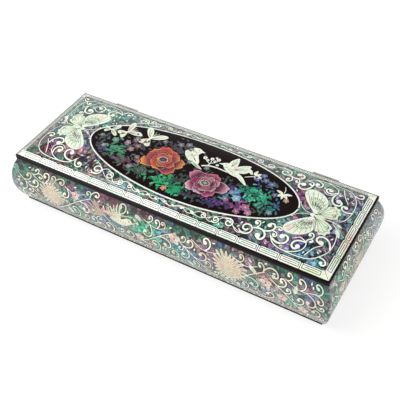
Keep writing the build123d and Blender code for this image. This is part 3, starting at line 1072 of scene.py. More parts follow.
            layer.strip(put(feeler, flip), 0.55, white, 0.7, 0.01)
            layer.dot(put([(17.5, 9.3)], flip)[0], 0.7, white, 0.01)
        layer.plate(put(oval(6.2, 1.5, 20) + [-3.8, 0], 1), white, rings=2, lift=0.03)
        layer.plate(put(oval(2.4, 1.9, 16) + [2.2, 0], 1), white, rings=2, lift=0.035)
        for k in range(6):
            x = -8.4 + k * 1.7
            layer.strip(put([(x, -1.1), (x + 0.25, 0), (x, 1.1)], 1), 0.26, ink, 1, 0.045, blunt=True)
        layer.strip(put(smooth([(-10.5, 0), (-15, 0.4), (-20, 0)], 5), 1), 0.8, white, 0.5)
        layer.plate(put(turned(LEAF, math.pi, (-22.6, 0), 2.6), 1), pale, rings=1)
        layer.strip(put(smooth([(-17, -1.0), (-21, -3.6), (-25, -4.6)], 5), hand * -1), 0.7, white, 0.6, 0.02)
        layer.plate(put(turned(TOOTHED, -2.2, (-24.6, -8.6), 4.6), hand * -1), white, pale, rings=1, lift=0.02)
        piece = layer.lay(name + "_shell", SHELL, "white_shell", "lid")
        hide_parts(name)

    def pad(self) -> None:
        """Makes the velvet pad under the lid."""
        covered("lid_pad_velvet", "lid_lining", -1, "lid")


@dataclass
class Picture:
    """The oval picture: flowers, leaves, birds and butterflies in shell on black lacquer."""

    BED_LEAVES: ClassVar[int] = 330  # plain leaves tried under the clusters
    CROWDING: ClassVar[float] = 1.9  # leaves in a cluster for each one that its row asks for
    GATHER: ClassVar[float] = 0.62  # a cluster's normal spread as a share of its row's

    lid: Lid
    chance: random.Random = field(default_factory=lambda: random.Random(5))

    def build(self) -> None:
        """Builds and dresses the picture's pieces."""
        s = self.lid.sizes
        base = Marquetry(Crown(), Level.LACQUER)
        edge = oval(s.medallion_long - 0.6, s.medallion_wide - 0.6, 120)
        base.plate(edge, linear("#120c0d"), rings=24)
        piece = base.lay("medallion_lacquer", LACQUER, "picture_inlay", "lid")
        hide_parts("medallion_panel")
        leaves = Marquetry(Crown(), Level.LEAVES)
        self.foliage(leaves)
        leaves.lay("medallion_leaves", COLOURED, "picture_inlay", "lid")
        flowers = Marquetry(Crown(), Level.FLOWERS)
        self.peony(flowers, (-28.2, -1.2), (23.5, 16.0), ["#f8941c", "#f07c18", "#e4582c", "#f8a428", "#d84830"],
                   ["#5c0c48", "#8c1c40", "#a83020"], "#48607c", 3)
        self.peony(flowers, (22.6, -10.2), (22.5, 15.0), ["#f0b8c8", "#e08cac", "#d4588c", "#f4c8d0", "#b83470"],
                   ["#5c0c38", "#7c1448", "#481034"], "#a8c4cc", 8)
        self.small_flowers(flowers)
        flowers.lay("medallion_flowers", COLOURED, "picture_inlay", "lid")
        white = Marquetry(Crown(), Level.FLOWERS)
        self.birds(white)
        self.small_butterflies(white)
        white.lay("medallion_birds", SHELL, "white_shell", "lid")

    def inside(self, point: Spot, margin: float = 3.0) -> bool:
        """Tells whether a point lies in the picture, margin clear of its ring."""
        s = self.lid.sizes
        return (point[0] / (s.medallion_long - margin)) ** 2 + (point[1] / (s.medallion_wide - margin)) ** 2 < 1

    def leaf(self, layer: Marquetry, place: Spot, angle: float, size: float, tint: Colour,
             lift: float = 0.0) -> None:
        """Cuts one leaf with a dark joint and midrib: toothed, or plain where it lies low in the bed."""
        if not self.inside(place, 3 + size):
            return
        ink = blend(tint, self.lid.ink, 0.9)
        layer.plate(turned(LEAF, angle, place, size * 1.16), self.lid.ink, rings=1, lift=lift)
        shape = turned(LEAF if lift < 0 else TOOTHED, angle, place, size)
        layer.plate(shape, tint, blend(tint, self.lid.ink, 0.35), rings=1, lift=lift + 0.003)
        rib = turned(np.array([(-1.0, 0), (0, 0.03), (0.8, 0)]), angle, place, size)
        layer.strip(rib, 0.32, ink, 0.6, lift + 0.012)

    def foliage(self, layer: Marquetry) -> None:
        """Scatters the leaves of the flower bed in their coloured clusters."""
        clusters = [
            (-9, -27, 15, 9, 38, ("#18b878", "#28d490", "#108458", "#60dca8"), 3.0),
            (4, -31, 9, 6, 14, ("#18b878", "#38d898"), 2.8),
            (-41, -24, 13, 8, 26, ("#5c6c68", "#466458", "#7c8884", "#289464"), 2.5),
            (-62, -18, 12, 8, 26, ("#844878", "#545060", "#a0607c", "#2c9868"), 2.4),
            (-77, -8, 8, 7, 18, ("#24bc88", "#1c8868", "#58c09c"), 2.6),
            (-88, -15, 7, 5, 12, ("#6440a0", "#3f3850", "#486c64"), 2.3),
            (-95, -2, 6, 7, 9, ("#487c70", "#4a4458"), 2.0),
            (-60, 4, 13, 10, 20, ("#5a3c50", "#46404c", "#6c5468"), 2.2),
            (-19, 21, 14, 9, 26, ("#4c3c58", "#5c5468", "#38303c", "#64505c"), 2.3),
            (-36, 16, 10, 6, 12, ("#4c3c58", "#54485c"), 2.2),
            (2, -13, 8, 12, 14, ("#3c5c50", "#4c4c58"), 2.3),
            (20, -30, 12, 6, 20, ("#4c4c58", "#5c5870", "#645070"), 2.2),
            (42, -28, 12, 6, 26, ("#6440a0", "#9058b8", "#4c4464"), 2.4),
            (50, -10, 10, 7, 20, ("#4468d0", "#7450c0", "#40c0dc", "#a0d0f4"), 2.3),
            (62, -22, 9, 6, 16, ("#c050a0", "#e080bc", "#803c90"), 2.4),
            (74, -4, 12, 9, 34, ("#14b48c", "#28d8a8", "#108468", "#60ecc4"), 2.7),
            (60, 2, 9, 6, 14, ("#1c8078", "#28a490"), 2.3),
            (88, -8, 8, 9, 16, ("#3868a8", "#4080b8", "#28a088"), 2.2),
            (76, 13, 9, 6, 14, ("#289488", "#4858b0", "#6450c0"), 2.0),
            (34, 2, 12, 4, 12, ("#3c6c5c", "#50585c"), 2.0),
            (80, -17, 8, 6, 12, ("#24b080", "#5c6c48", "#2f7c60"), 2.1),
        ]
        dim = [linear(c) for c in ("#3c5c54", "#4c4854", "#5c4458", "#3c4c58", "#4c6058", "#66505c", "#386858")]
        for _ in range(self.BED_LEAVES):
            x, y = self.chance.uniform(-104, 100), self.chance.uniform(-38, 22)
            if y < 9 - 0.10 * x - (8 if 2 < x < 46 else 0):
                tint = blend(self.chance.choice(dim), self.lid.ink, self.chance.uniform(0, 0.4))
                self.leaf(layer, (x, y), self.chance.uniform(0, 6.3), self.chance.uniform(1.7, 2.7), tint, -0.01)
        for x, y, spread_x, spread_y, count, shades, size in clusters:
            tints = [linear(c) for c in shades]
            for k in range(int(count * self.CROWDING)):
                place = (self.chance.gauss(x, spread_x * self.GATHER), self.chance.gauss(y, spread_y * self.GATHER))
                angle = self.chance.uniform(0, 2 * math.pi)
                tint = blend(self.chance.choice(tints), self.lid.ink, self.chance.uniform(0, 0.35))
                self.leaf(layer, place, angle, size * self.chance.uniform(0.7, 1.15), tint, 0.0005 * k)

    def petal(self, layer: Marquetry, place: Spot, angle: float, long: float, wide: float, edge: Colour,
              root: Colour, lift: float) -> None:
        """Cuts one petal over a dark joint, its edge waved and rimmed, with dark streaks from its root.

        Args:
            layer: where it is laid.
            place: the flower's middle.
            angle: the way it points.
            long: its length from the middle.
            wide: half its width.
            edge: its colour at the edge.
            root: its colour at the root.
            lift: its height over the layer.
        """
        t = np.linspace(0, math.pi, 27)
        wave = (1 + 0.035 * np.cos(6 * t + self.chance.uniform(-1, 1))
                + 0.03 * np.cos(10 * t + self.chance.uniform(-1, 1)))
        rim = np.stack([long * (0.30 + 0.66 * np.sin(t) ** 0.62 * wave), wide * np.cos(t) * wave], axis=1)
        shape = np.vstack([rim[::-1], [(0, wide * 0.16), (0, -wide * 0.16)]])
        outline = turned(shape, angle, place)
        centre = turned(np.array([(long * 0.45, 0.0)]), angle, place)[0]
        layer.plate(centre + (outline - centre) * 1.11, linear("#120a10"), None, centre, 1, lift)
        start = len(layer.points)
        layer.plate(outline, edge, edge, centre, 4, lift + 0.008)
        far = np.linalg.norm(layer.points[start] - np.array(place), axis=1) / long
        share = np.clip((1.02 - far) * 2.7, 0, 1)[:, None]
        layer.tints[start] = np.array(edge) * (1 - share) + np.array(root) * share
        for side in (-0.5, -0.18, 0.12, 0.46):
            line = turned(np.array([(long * 0.2, wide * side * 0.35), (long * 0.5, wide * side * 0.8),
                                    (long * self.chance.uniform(0.7, 0.84), wide * side)]), angle, place)
            layer.strip(smooth(line, 4), 0.62, root, 0.3, lift + 0.016)
        trim = turned(centre_scaled(rim, (long * 0.45, 0.0), 0.955), angle, place)
        layer.strip(trim, 0.3 if lift < 0.03 else 0.2, blend(edge, linear("#fff4d8"), 0.3), 1.0, lift + 0.017)

    def peony(self, layer: Marquetry, place: Spot, reach: Spot, edges: Sequence[str],
              roots: Sequence[str], eye: str, seed: int) -> None:
        """Builds one open peony from four rounds of petals and its eye.

        Args:
            layer: where its petals are laid.
            place: its middle.
            reach: half its length and height.
            edges: the petals' edge colours, outer round first.
            roots: the petals' root colours.
            eye: the colour of its middle.
            seed: fixes its small differences.
        """
        self.chance = random.Random(seed)
        rounds = [(7, 1.0, 0.50, 0.15, 0.0), (7, 0.70, 0.34, 0.45, 0.25), (6, 0.48, 0.26, 0.1, 0.3),
                  (5, 0.33, 0.2, 0.5, 0.1)]
        for level, (count, out, wide, twist, dim) in enumerate(rounds):
            for k in range(count):
                angle = 2 * math.pi * (k + twist) / count + self.chance.uniform(-0.14, 0.14)
                length = math.hypot(reach[0] * math.cos(angle), reach[1] * math.sin(angle)) * out
                length *= self.chance.uniform(0.80, 1.10)
                edge = blend(linear(edges[(3 * level + 2 * k) % len(edges)]), linear(roots[0]), dim)
                root = linear(roots[(level + k) % len(roots)])
                self.petal(layer, place, angle, length, reach[1] * wide, edge, root, 0.03 * level + 0.0022 * k)
        layer.plate(oval(reach[0] * 0.15, reach[1] * 0.16, 18) + np.array(place), linear("#0c1016"),
                    linear(eye), rings=2, lift=0.16)
        for k in range(14):
            a = 2 * math.pi * k / 14
            spot = np.array(place) + [reach[0] * 0.19 * math.cos(a), reach[1] * 0.21 * math.sin(a)]
            layer.dot(spot, 0.55, linear("#f0c060") if k % 2 else linear("#d8e4e8"), 0.17)

    def small_flowers(self, layer: Marquetry) -> None:
        """Lays the small five-petalled blossoms and round buds among the leaves."""
        chance = random.Random(9)
        blooms = [(-66, 12, 2.4, "#8c5c74"), (-72, 4, 2.2, "#a06c80"), (-60, 4, 2.0, "#7c4c68"),
                  (-64, -3, 2.2, "#94647c"), (-56, 14, 1.9, "#6c5474"), (-85, 2, 2.3, "#3f9c84"),
                  (-91, -10, 1.8, "#7c7c94"), (-47, -14, 2.2, "#a4586c"), (-52, -10, 1.8, "#7c4c60"),
                  (-17, 29, 2.2, "#54586c"), (-24, 25, 2.2, "#4c4c64"), (-12, 24, 2.0, "#5c4c6c"),
                  (-8, 17, 2.0, "#504464"), (-40, 22, 1.9, "#544c68"), (62, 18, 2.3, "#6450c0"),
                  (70, 19, 2.1, "#4c4c90"), (66, 24, 1.8, "#3868a8"), (77, 17, 1.9, "#5c5c94"),
                  (-8, -33, 2.0, "#e07c5c"), (69, -20, 2.6, "#b05c94"), (74, -25, 2.2, "#c06c9c"),
                  (64, -28, 2.1, "#9c4c84"), (90, -16, 1.9, "#488ca0"), (48, -19, 2.1, "#8c6cb0"),
                  (57, -14, 2.4, "#88b8d8"), (50, -9, 2.0, "#6c7cc8"), (85, 6, 1.9, "#4c4c84"),
                  (14, 8, 1.9, "#5c6068"), (97, 4, 1.7, "#c89478"), (-70, 20, 1.7, "#5c6c78"),
                  (-52, -24, 2.0, "#6c7c78"), (-4, 8, 1.8, "#6c6478"), (-101, 2, 1.6, "#4c5c58")]
        for x, y, size, shade in blooms:
            tint = linear(shade)
            for k in range(5):
                a = 2 * math.pi * k / 5 + chance.uniform(-0.2, 0.2)
                spot = (x + size * 0.85 * math.cos(a), y + size * 0.85 * math.sin(a))
                layer.plate(turned(oval(size * 0.75, size * 0.58, 12), a, spot), blend(tint, linear("#ffffff"), 0.12),
                            blend(tint, self.lid.ink, 0.4), rings=1, lift=0.001 * k)
            layer.dot((x, y), size * 0.32, linear("#d8c888"), 0.02)

    def birds(self, layer: Marquetry) -> None:
        """Lays the perched bird on its branch with berries, the flying bird and two star-shaped sprigs."""
        white, ink = linear("#f0f0e2"), self.lid.ink
        pale = linear("#d2dcc4")

        def feather(points: Path, width: float = 0.3) -> None:
            """Draws one fine dark line between feathers."""
            layer.strip(smooth(points, 5), width, ink, 0.8, 0.035)

        def cut(points: Path, tint: Colour, core: Colour | None = None,
                centre: Spot | None = None, rings: int = 2, lift: float = 0.0, steps: int = 4) -> None:
            """Cuts one filled shape with a smooth outline."""
            layer.plate(smooth(points, steps), tint, core, centre, rings, lift)

        def twig(points: Path, width: float, end: float = 0.8, steps: int = 5) -> None:
            """Cuts one white stem or branch."""
            layer.strip(smooth(points, steps), width, white, end)

        def sprig(middle: Spot, reach: Spot, turns: Sequence[float], flat: float = 1) -> None:
            """Sets pointed leaves round a middle, one for each turn."""
            for k, a in enumerate(turns):
                spot = (middle[0] + reach[0] * math.cos(a), middle[1] + reach[1] * math.sin(a))
                layer.plate(turned(LEAF, a, spot, 3.6, flat), white, pale, rings=1, lift=0.002 * k)

        first = len(layer.points)
        cut([(-9.6, 24.2), (-6.4, 27.6), (-2.6, 28.4), (0.6, 26.6), (1.2, 23.4), (0.2, 20.2), (2.4, 15.6), (5.2, 10.8),
             (4.6, 7.2), (0.4, 7.0), (-4.6, 9.4), (-9.4, 13.6), (-12.2, 18.8)], white, pale, (-4.2, 18.4), 4)
        cut([(0.6, 26.4), (4.2, 25.2), (1.0, 24.0)], white, rings=1, lift=0.01, steps=3)
        cut([(1.4, 11.0), (6.0, 7.6), (11.2, 3.8), (8.6, 3.4), (2.6, 5.4), (-1.4, 7.6)], pale, lift=0.008)
        cut([(-8.6, 19.6), (-4.4, 20.6), (0.4, 16.4), (4.2, 10.2), (2.4, 8.8), (-2.6, 11.2), (-7.4, 14.8)], white,
            lift=0.02)
        for k in range(5):
            feather([(-6.2 + k * 1.1, 18.6 - k * 0.9), (-2.6 + k * 1.1, 15.4 - k * 1.0),
                     (0.4 + k * 0.7, 11.8 - k * 0.5)])
        feather([(-9.2, 21.4), (-5.2, 22.4), (-1.4, 21.0)])
        for row in range(4):
            for k in range(4):
                x, y = -9.8 + 2.1 * k + 0.9 * (row % 2), 13.6 + 2.3 * row - 1.0 * k
                feather([(x - 0.7, y + 0.6), (x, y - 0.3), (x + 0.8, y + 0.5)], 0.24)
        for k in range(3):
            feather([(-0.4 + 1.2 * k, 8.6), (3.0 + 0.8 * k, 6.4), (6.6 + 0.6 * k, 4.6)], 0.22)
        layer.dot((-1.9, 25.8), 0.55, ink, 0.04)
        for foot in ((-3.4, 6.0), (-0.8, 5.2)):
            layer.strip([(foot[0], foot[1] + 3), foot], 0.5, white)
        for points in layer.points[first:]:
            points[:] = (points - [0.6, 4.0]) * [1.14, 1.0] + [-1.6, 4.6]
        twig([(7.6, 8.6), (14, 11.8), (21, 12.8), (28, 12.6), (34.9, 12.0)], 1.5, steps=6)
        twig([(12.4, 11.2), (13.6, 15.2), (12.6, 19.6)], 0.8)
        twig([(13.4, 14.6), (9.6, 16.6), (6.6, 18.8)], 0.7)
        twig([(13.4, 15.6), (16.8, 18.0), (18.8, 21.6)], 0.7)
        for spot, size in (((5.6, 20.2), 2.0), ((9.4, 18.2), 1.5), ((12.4, 21.6), 1.9), ((16.2, 19.6), 1.5),
                           ((18.4, 23.2), 2.0), ((20.6, 16.2), 1.5), ((15.6, 24.6), 1.2)):
            layer.dot(spot, size, white, 0.01)
            layer.dot(spot, size * 0.3, ink, 0.03)
        cut([(24.2, 21.6), (28.6, 23.6), (34.0, 21.4), (42.0, 16.8), (47.4, 12.2), (43.6, 10.2), (36.2, 11.2),
             (29.6, 14.6), (25.6, 18.4)], white, pale, (35.0, 16.8), 3)
        cut([(24.4, 21.2), (20.8, 19.4), (25.2, 19.2)], white, rings=1, lift=0.01, steps=3)
        cut([(42.6, 15.6), (49.6, 12.2), (56.6, 4.8), (53.4, 5.2), (48.4, 8.0), (41.8, 11.4)], white, lift=0.01)
        cut([(29.6, 20.6), (29.4, 26.0), (31.4, 31.0), (34.4, 34.6), (36.4, 31.2), (37.8, 26.0), (38.0, 20.4),
             (34.0, 18.2)], white, pale, rings=3, lift=0.02)
        cut([(35.6, 19.6), (41.6, 25.8), (49.2, 29.6), (50.2, 26.0), (53.6, 24.2), (51.2, 21.0), (47.4, 17.2),
             (40.2, 15.4)], white, pale, rings=3, lift=0.024)
        for root, bow, tips in (((33.4, 20.4), (0.4, 0), ((31.0, 30.0), (33.8, 32.6), (35.8, 29.6))),
                                ((37.6, 18.0), (0, 0.8), ((48.2, 28.2), (50.0, 24.2), (50.2, 21.2), (46.0, 17.6)))):
            for tip in tips:
                feather([root, (np.array(root) + tip) / 2 + bow, tip])
        layer.dot((27.4, 21.6), 0.5, ink, 0.04)
        for k in range(5):
            x, y = 29.6 + 3.0 * k, 17.8 - 1.5 * k
            feather([(x - 0.8, y + 0.7), (x, y - 0.5), (x + 1.0, y + 0.3)], 0.24)
            feather([(43.4 + 1.8 * k, 14.0 - 1.6 * k), (46.2 + 1.8 * k, 11.8 - 1.5 * k)], 0.24)
        sprig((56.5, 19.5), (5.2, 4.4), (-0.5, 0.1, 0.7, 1.4, 2.4))
        twig([(50.5, 14.0), (55, 17.0), (59, 19.5)], 0.8, 1.0)
        sprig((91.5, 11.0), (4.4, 3.8), (-2.2, -1.5, -0.8, 0.2, 2.9), 0.9)
        twig([(91.5, 11), (91.1, 16), (89.1, 20.0)], 0.7, 0.6)

    def small_butterflies(self, layer: Marquetry) -> None:
        """Lays the three small white butterflies at the picture's left."""
        white, ink = linear("#f0f0e2"), self.lid.ink
        fore = smooth([(0, 0.4), (2.4, 4.8), (6.0, 8.8), (9.9, 10.4), (10.6, 7.6), (8.2, 3.6), (4.0, 0.7)], 4)
        hind = smooth([(0, 0), (-2.8, 3.2), (-6.4, 5.4), (-8.4, 3.4), (-6.6, -0.4), (-2.6, -1.2)], 4)
        for place, angle, size in (((-56.0, 18.6), 1.35, 1.26), ((-81.0, 17.0), 0.9, 1.1), ((-98.0, 12.6), 0.2, 0.78)):
            for flip in (1, -1):
                wing = turned(fore, angle, place, size, flip)
                layer.plate(wing, white, linear("#d8e0c8"), rings=3, lift=0.004)
                layer.plate(turned(hind, angle, place, size, flip), linear("#dce4cc"), rings=2)
                for tip in ((8.6, 8.4), (8.8, 6.0), (5.6, 6.6)):
                    line = np.array([(0.8, 0.9), (tip[0] * 0.5, tip[1] * 0.52), tip])
                    layer.strip(turned(smooth(line, 4), angle, place, size, flip), 0.3, ink, 0.8, 0.02)
                feeler = smooth([(3.0, 0.2), (6.4, 0.5), (9.4, 1.8)], 4)
                layer.strip(turned(feeler, angle, place, size, flip), 0.4, white, 0.6, 0.01)
            layer.plate(turned(oval(3.6, 0.9, 14) - [0.4, 0], angle, place, size), white, rings=1, lift=0.03)


# ------------------------------------------------------------------ the case
class Motif(Enum):
    """The large ornaments on the walls."""

    ASTER = "aster"
    BLOOM = "bloom"
    LEAF = "leaf"
    BIRD = "bird"


@dataclass
class Case:
    """The case: four swelling inlaid walls, base, linings and hinge halves."""

    # The two near-white zones low on the end walls are partly painted reflection: the white table's sheen mixed into
    # the shell's colour.
    END_ZONES: ClassVar[tuple] = (
        (-40, 38, 14, 12, "#58d8ac"), (-10, 46, 16, 8, "#b0bcb8"), (20, 34, 16, 12, "#5ce0b4"),
        (45, 40, 12, 14, "#a098c8"), (-20, 16, 24, 10, "#e4ece6", 2), (25, 12, 24, 10, "#dcece2", 2))
    LONG_ZONES: ClassVar[tuple] = (
        (-150, 34, 14, 14, "#3c7c74"), (-132, 44, 14, 7, "#20b078"), (-112, 38, 16, 8, "#30c888"),
        (-95, 30, 14, 8, "#3cb484"), (-128, 24, 20, 9, "#446c60", 1.2), (-92, 46, 10, 6, "#5848c0"),
        (-74, 36, 12, 8, "#7058c8"), (-60, 43, 10, 6, "#f07090"), (-52, 28, 12, 7, "#5070d0"),
        (-38, 42, 12, 8, "#30c89c"), (-14, 36, 14, 9, "#18e0a8", 1.6), (2, 25, 16, 8, "#30f0c0", 1.5),
        (22, 30, 16, 9, "#20c0f0", 1.7), (38, 26, 12, 8, "#50b0ff", 1.3), (46, 40, 12, 7, "#f88098"),
        (66, 44, 14, 6, "#6c5c74"), (84, 40, 12, 7, "#7c6cac"), (96, 28, 14, 7, "#60d8b0"),
        (108, 39, 12, 7, "#f06c90", 1.3), (118, 30, 12, 7, "#f8a8c8"), (104, 22, 14, 6, "#70a8f0"),
        (136, 23, 12, 6, "#30e8c0", 1.4), (150, 36, 12, 12, "#8c74a0"))
    STEMS: ClassVar[tuple] = (  # width, then shares of a repeat's length and heights from the wall's middle
        (1.25, ((0, -13), (0.28, -4), (0.62, 9), (0.9, 17))),
        (1.0, ((0.2, 19), (0.5, 15), (0.75, 19))),
        (1.0, ((0.3, -19), (0.6, -13), (0.95, -16))))

    sizes: BoxSizes = SIZES
    cream: Colour = linear("#efe9d6")
    ink: Colour = linear("#2a2422")
    rose: Colour = linear("#d8a8a4")
    sand: Colour = linear("#d2be94")

    def build(self) -> None:
        """Builds and dresses every piece of the case."""
        for name in ("front_wall", "back_wall", "left_wall", "right_wall", "base_board"):
            paint_node(name, LACQUER)
        for side in ("left", "right"):
            paint_node(f"{side}_hinge_case_leaf", BRASS)
            paint_node(f"{side}_hinge_pin", BRASS)
        paint_node("hinge_case_screws", BRASS)
        for side in Side:
            self.wall(side)
        self.linings()

    def wall(self, side: Side) -> None:
        """Lays one wall's abalone ground and grows its scrolls, blossoms and leaves."""
        surface = Wall(side)
        name = side.name.lower()
        half, tall = surface.half, surface.tall
        layer = ground(surface, np.linspace(-half + 0.02, half - 0.02, int(half)), np.linspace(0.02, tall - 0.02, 30),
                       self.zones(side), "#7c8482")
        if side is Side.BACK:
            self.notch(surface, layer)
        piece = layer.lay(f"{name}_wall_ground", WALL_ABALONE, "abalone_lacquer", "case")
        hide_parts(f"{name}_inlay")
        work = Marquetry(surface, Level.SCROLLS)

        def inside(points: np.ndarray) -> np.ndarray:
            """Tells which points lie in the wall's field, clear of its edges and the hinges."""
            keep = (np.abs(points[:, 0]) < half - 3.5) & (points[:, 1] > 2.6) & (points[:, 1] < tall - 2.2)
            if side is Side.BACK:
                keep &= ~((np.abs(np.abs(points[:, 0]) - 114) < 17.5) & (points[:, 1] > tall - 7))
            return keep

        scrolls = Scrolls(work, inside, (half, tall), self.cream, 20 + side.value // 90, 0.84)
        scrolls.tones = [linear(c) for c in ("#e9e3cf", "#d4e4cc", "#e8d0c8", "#d8d0b4", "#f2efe4", "#c4dccc")]
        draw = {Motif.ASTER: self.aster, Motif.BLOOM: self.bloom, Motif.LEAF: self.broad_leaf, Motif.BIRD: self.bird}
        for kind, u, v, size in self.motifs(side):
            draw[kind](work, scrolls, u, v, size)
        count = 7 if side.along else 3
        margin, middle = 9, tall * 0.5
        span = (2 * half - 2 * margin) / count
        for k in range(count):
            start = -half + margin + k * span
            up = 1 if k % 2 else -1
            for width, path in self.STEMS:
                scrolls.stem([(start + span * a, middle + up * b) for a, b in path], width)
        scrolls.grow((12.0, 9.5, 7.6, 6.0, 4.8, 3.8, 3.0), 4)
        scrolls.seeds(600 if side.along else 240, 1.7)
        work.lay(f"{name}_wall_scrolls", SHELL, "white_shell", "case")
        scrolls.bed.lay(f"{name}_wall_scroll_bed", LACQUER, "lacquered_wood", "case")

    def notch(self, surface: Wall, layer: Marquetry) -> None:
        """Drops the faces of the back wall's ground that lie over the hinge recesses."""
        s, plan = self.sizes, layer.points[0]
        spots = surface.place(plan[:, 0], plan[:, 1], np.zeros(len(plan)))

        def stays(face: tuple[int, ...]) -> bool:
            """Tells whether a face lies beside the recesses or under them."""
            x, z = spots[list(face), 0].mean(), spots[list(face), 2].max()
            return abs(abs(x) - s.hinge_u) >= s.recess_half or z <= s.recess_z

        layer.faces = [face for face in layer.faces if stays(face)]

    def zones(self, side: Side) -> Sequence[tuple]:
        """Gives a wall's soft patches of colour: painted shade under the lid's overhang, pale along the foot, bright
        between.
        """
        if not side.along:
            return self.END_ZONES
        # The near-black row along the rim is painted shade: the shadow of the lid's overhang on the wall's top.
        top = tuple((u, 53, 16, 5.5, "#181418", 1.5) for u in range(-160, 161, 20))
        low = tuple((u, 8, 20, 9, shade, 1.6) for u, shade in (
            (-150, "#687874"), (-110, "#788880"), (-70, "#7c988c"), (-30, "#a4a898"), (10, "#98a4a0"), (50, "#aca8a4"),
            (90, "#9cb0a8"), (130, "#b8a4a8"), (160, "#9894a0")))
        return top + low + self.LONG_ZONES

    def motifs(self, side: Side) -> list[tuple[Motif, float, float, float]]:
        """Lists a wall's large ornaments as kind, place along it, height and size."""
        if not side.along:
            return [
                (Motif.ASTER, 0, 30, 11), (Motif.BLOOM, -38, 36, 5), (Motif.BLOOM, 38, 24, 5),
                (Motif.LEAF, 24, 44, 4.5), (Motif.LEAF, -22, 16, 4.5)]
        return [
            (Motif.ASTER, -121, 30, 15), (Motif.BIRD, -44, 34, 1.05), (Motif.ASTER, 76, 33, 17),
            (Motif.BLOOM, 20, 40, 5.5), (Motif.BLOOM, 112, 34, 5.0), (Motif.BLOOM, 128, 24, 4.4),
            (Motif.LEAF, 100, 42, 5.2), (Motif.LEAF, 140, 40, 5.0), (Motif.BLOOM, -18, 24, 4.4),
            (Motif.LEAF, -100, 20, 5.0), (Motif.LEAF, 36, 16, 5.0), (Motif.BLOOM, -92, 42, 4.2),
            (Motif.LEAF, -20, 46, 4.2), (Motif.BLOOM, 148, 18, 4.4), (Motif.LEAF, 86, 14, 4.6),
            (Motif.LEAF, -150, 16, 4.4)]

    def aster(self, layer: Marquetry, scrolls: Scrolls, u: float, v: float, size: float) -> None:
        """Lays one many-petalled aster and keeps its place free of scrolls."""
        for ring, (out, count, wide) in enumerate(((1.0, 22, 0.13), (0.72, 18, 0.12), (0.46, 12, 0.11))):
            for k in range(count):
                a = 2 * math.pi * (k + 0.5 * (ring % 2)) / count
                reach = size * out * (1.0 if ring else 1.0 + 0.14 * math.sin(3 * a + 1))
                t = np.linspace(0.18, 1, 7)[:, None]
                sway = 0.5 * size * out * 0.12
                line = np.hstack([t * reach, np.sin(t * 2.6) * sway])
                layer.strip(turned(line, a, (u, v)), size * wide, blend(self.sand, self.cream, 0.3 * ring), 1.15,
                            0.006 * ring, blend(self.rose, self.cream, 0.5))
                layer.strip(turned(line[1:-1], a, (u, v)), 0.22, self.ink, 0.7, 0.02 + 0.006 * ring)
        layer.dot((u, v), size * 0.16, self.sand, 0.03)
        scrolls.take(oval(size * 0.8, size * 0.8, 24) + [u, v], 2.5)
        scrolls.take(oval(size * 0.4, size * 0.4, 16) + [u, v], 3.5)

    def bloom(self, layer: Marquetry, scrolls: Scrolls, u: float, v: float, size: float) -> None:
        """Lays one five-petalled blossom and keeps its place free of scrolls."""
        for k in range(5):
            a = 2 * math.pi * k / 5 + 0.3
            spot = (u + size * 0.62 * math.cos(a), v + size * 0.62 * math.sin(a))
            layer.plate(turned(oval(size * 0.52, size * 0.42, 14), a, spot), self.rose if k % 2 else self.cream,
                        blend(self.rose, self.ink, 0.25), rings=2, lift=0.003 * k)
        layer.dot((u, v), size * 0.22, linear("#b85c70"), 0.03)
        scrolls.take(oval(size * 0.9, size * 0.9, 20) + [u, v], 1.4)
        scrolls.take(np.array([[u, v]]), size * 0.8)

    def broad_leaf(self, layer: Marquetry, scrolls: Scrolls, u: float, v: float, size: float) -> None:
        """Lays one veined leaf and keeps its place free of scrolls."""
        a = 0.6 + 0.05 * u
        layer.plate(turned(leaf_outline(2, 26), a, (u, v), size), blend(self.cream, linear("#b8d8c0"), 0.5),
                    self.cream, rings=2)
        layer.strip(turned(np.array([(-1.3, 0), (0, 0.02), (0.85, 0)]), a, (u, v), size), 0.35, self.ink, 0.7, 0.02)
        for t in (-0.4, 0.0, 0.4):
            for flip in (1, -1):
                vein = turned(np.array([(t, 0), (t + 0.2, 0.14 * flip), (t + 0.34, 0.25 * flip)]), a, (u, v), size)
                layer.strip(vein, 0.22, self.ink, 0.7, 0.02)
        scrolls.take(turned(leaf_outline(0, 24), a, (u, v), size * 0.9), 1.6)

    def bird(self, layer: Marquetry, scrolls: Scrolls, u: float, v: float, size: float) -> None:
        """Lays the long-tailed bird and keeps its place free of scrolls."""
        body = smooth([(-14, 4.6), (-8, 4.8), (0, 3.6), (7, 3.0), (11, 5.6), (15.4, 5.6), (17.2, 2.8), (15, 0.2),
                       (11, -2.6), (4, -4.2), (-5, -2.0)], 4)
        layer.plate(turned(body, 0.0, (u, v), size), blend(self.sand, self.cream, 0.5), self.cream, rings=3)
        layer.plate(turned(smooth([(17, 3.9), (20.6, 2.2), (16.8, 1.6)], 3), 0, (u, v), size), self.sand, rings=1)
        layer.dot((u + 14.2 * size, v + 3.4 * size), 0.75, self.ink, 0.04)
        for k in range(7):
            t = np.linspace(0, 1, 9)[:, None]
            reach = (16.5 - 1.3 * k) * size
            line = np.hstack([t * reach, np.sin(t * 2.6) * 0.14 * reach])
            plume = turned(line, 1.55 + 0.2 * k, (u + (5 - 1.4 * k) * size, v + 2.0))
            layer.strip(plume, 1.9, blend(self.cream, self.sand, 0.12 * k), 0.6, 0.01 + 0.004 * k)
            layer.strip(plume, 0.25, self.ink, 0.6, 0.045)
        for k in range(6):
            t = np.linspace(0, 1, 10)[:, None]
            line = np.hstack([t * (20 + 2 * k) * size, np.sin(t * 4.2) * 2.4])
            plume = turned(line, math.pi - 0.42 + 0.15 * k, (u - 9 * size, v + 2.6))
            layer.strip(plume, 1.5, blend(self.sand, self.rose, 0.15 * k), 0.7, 0.004 * k)
            layer.strip(plume, 0.25, self.ink, 0.7, 0.03)
        for k in range(7):
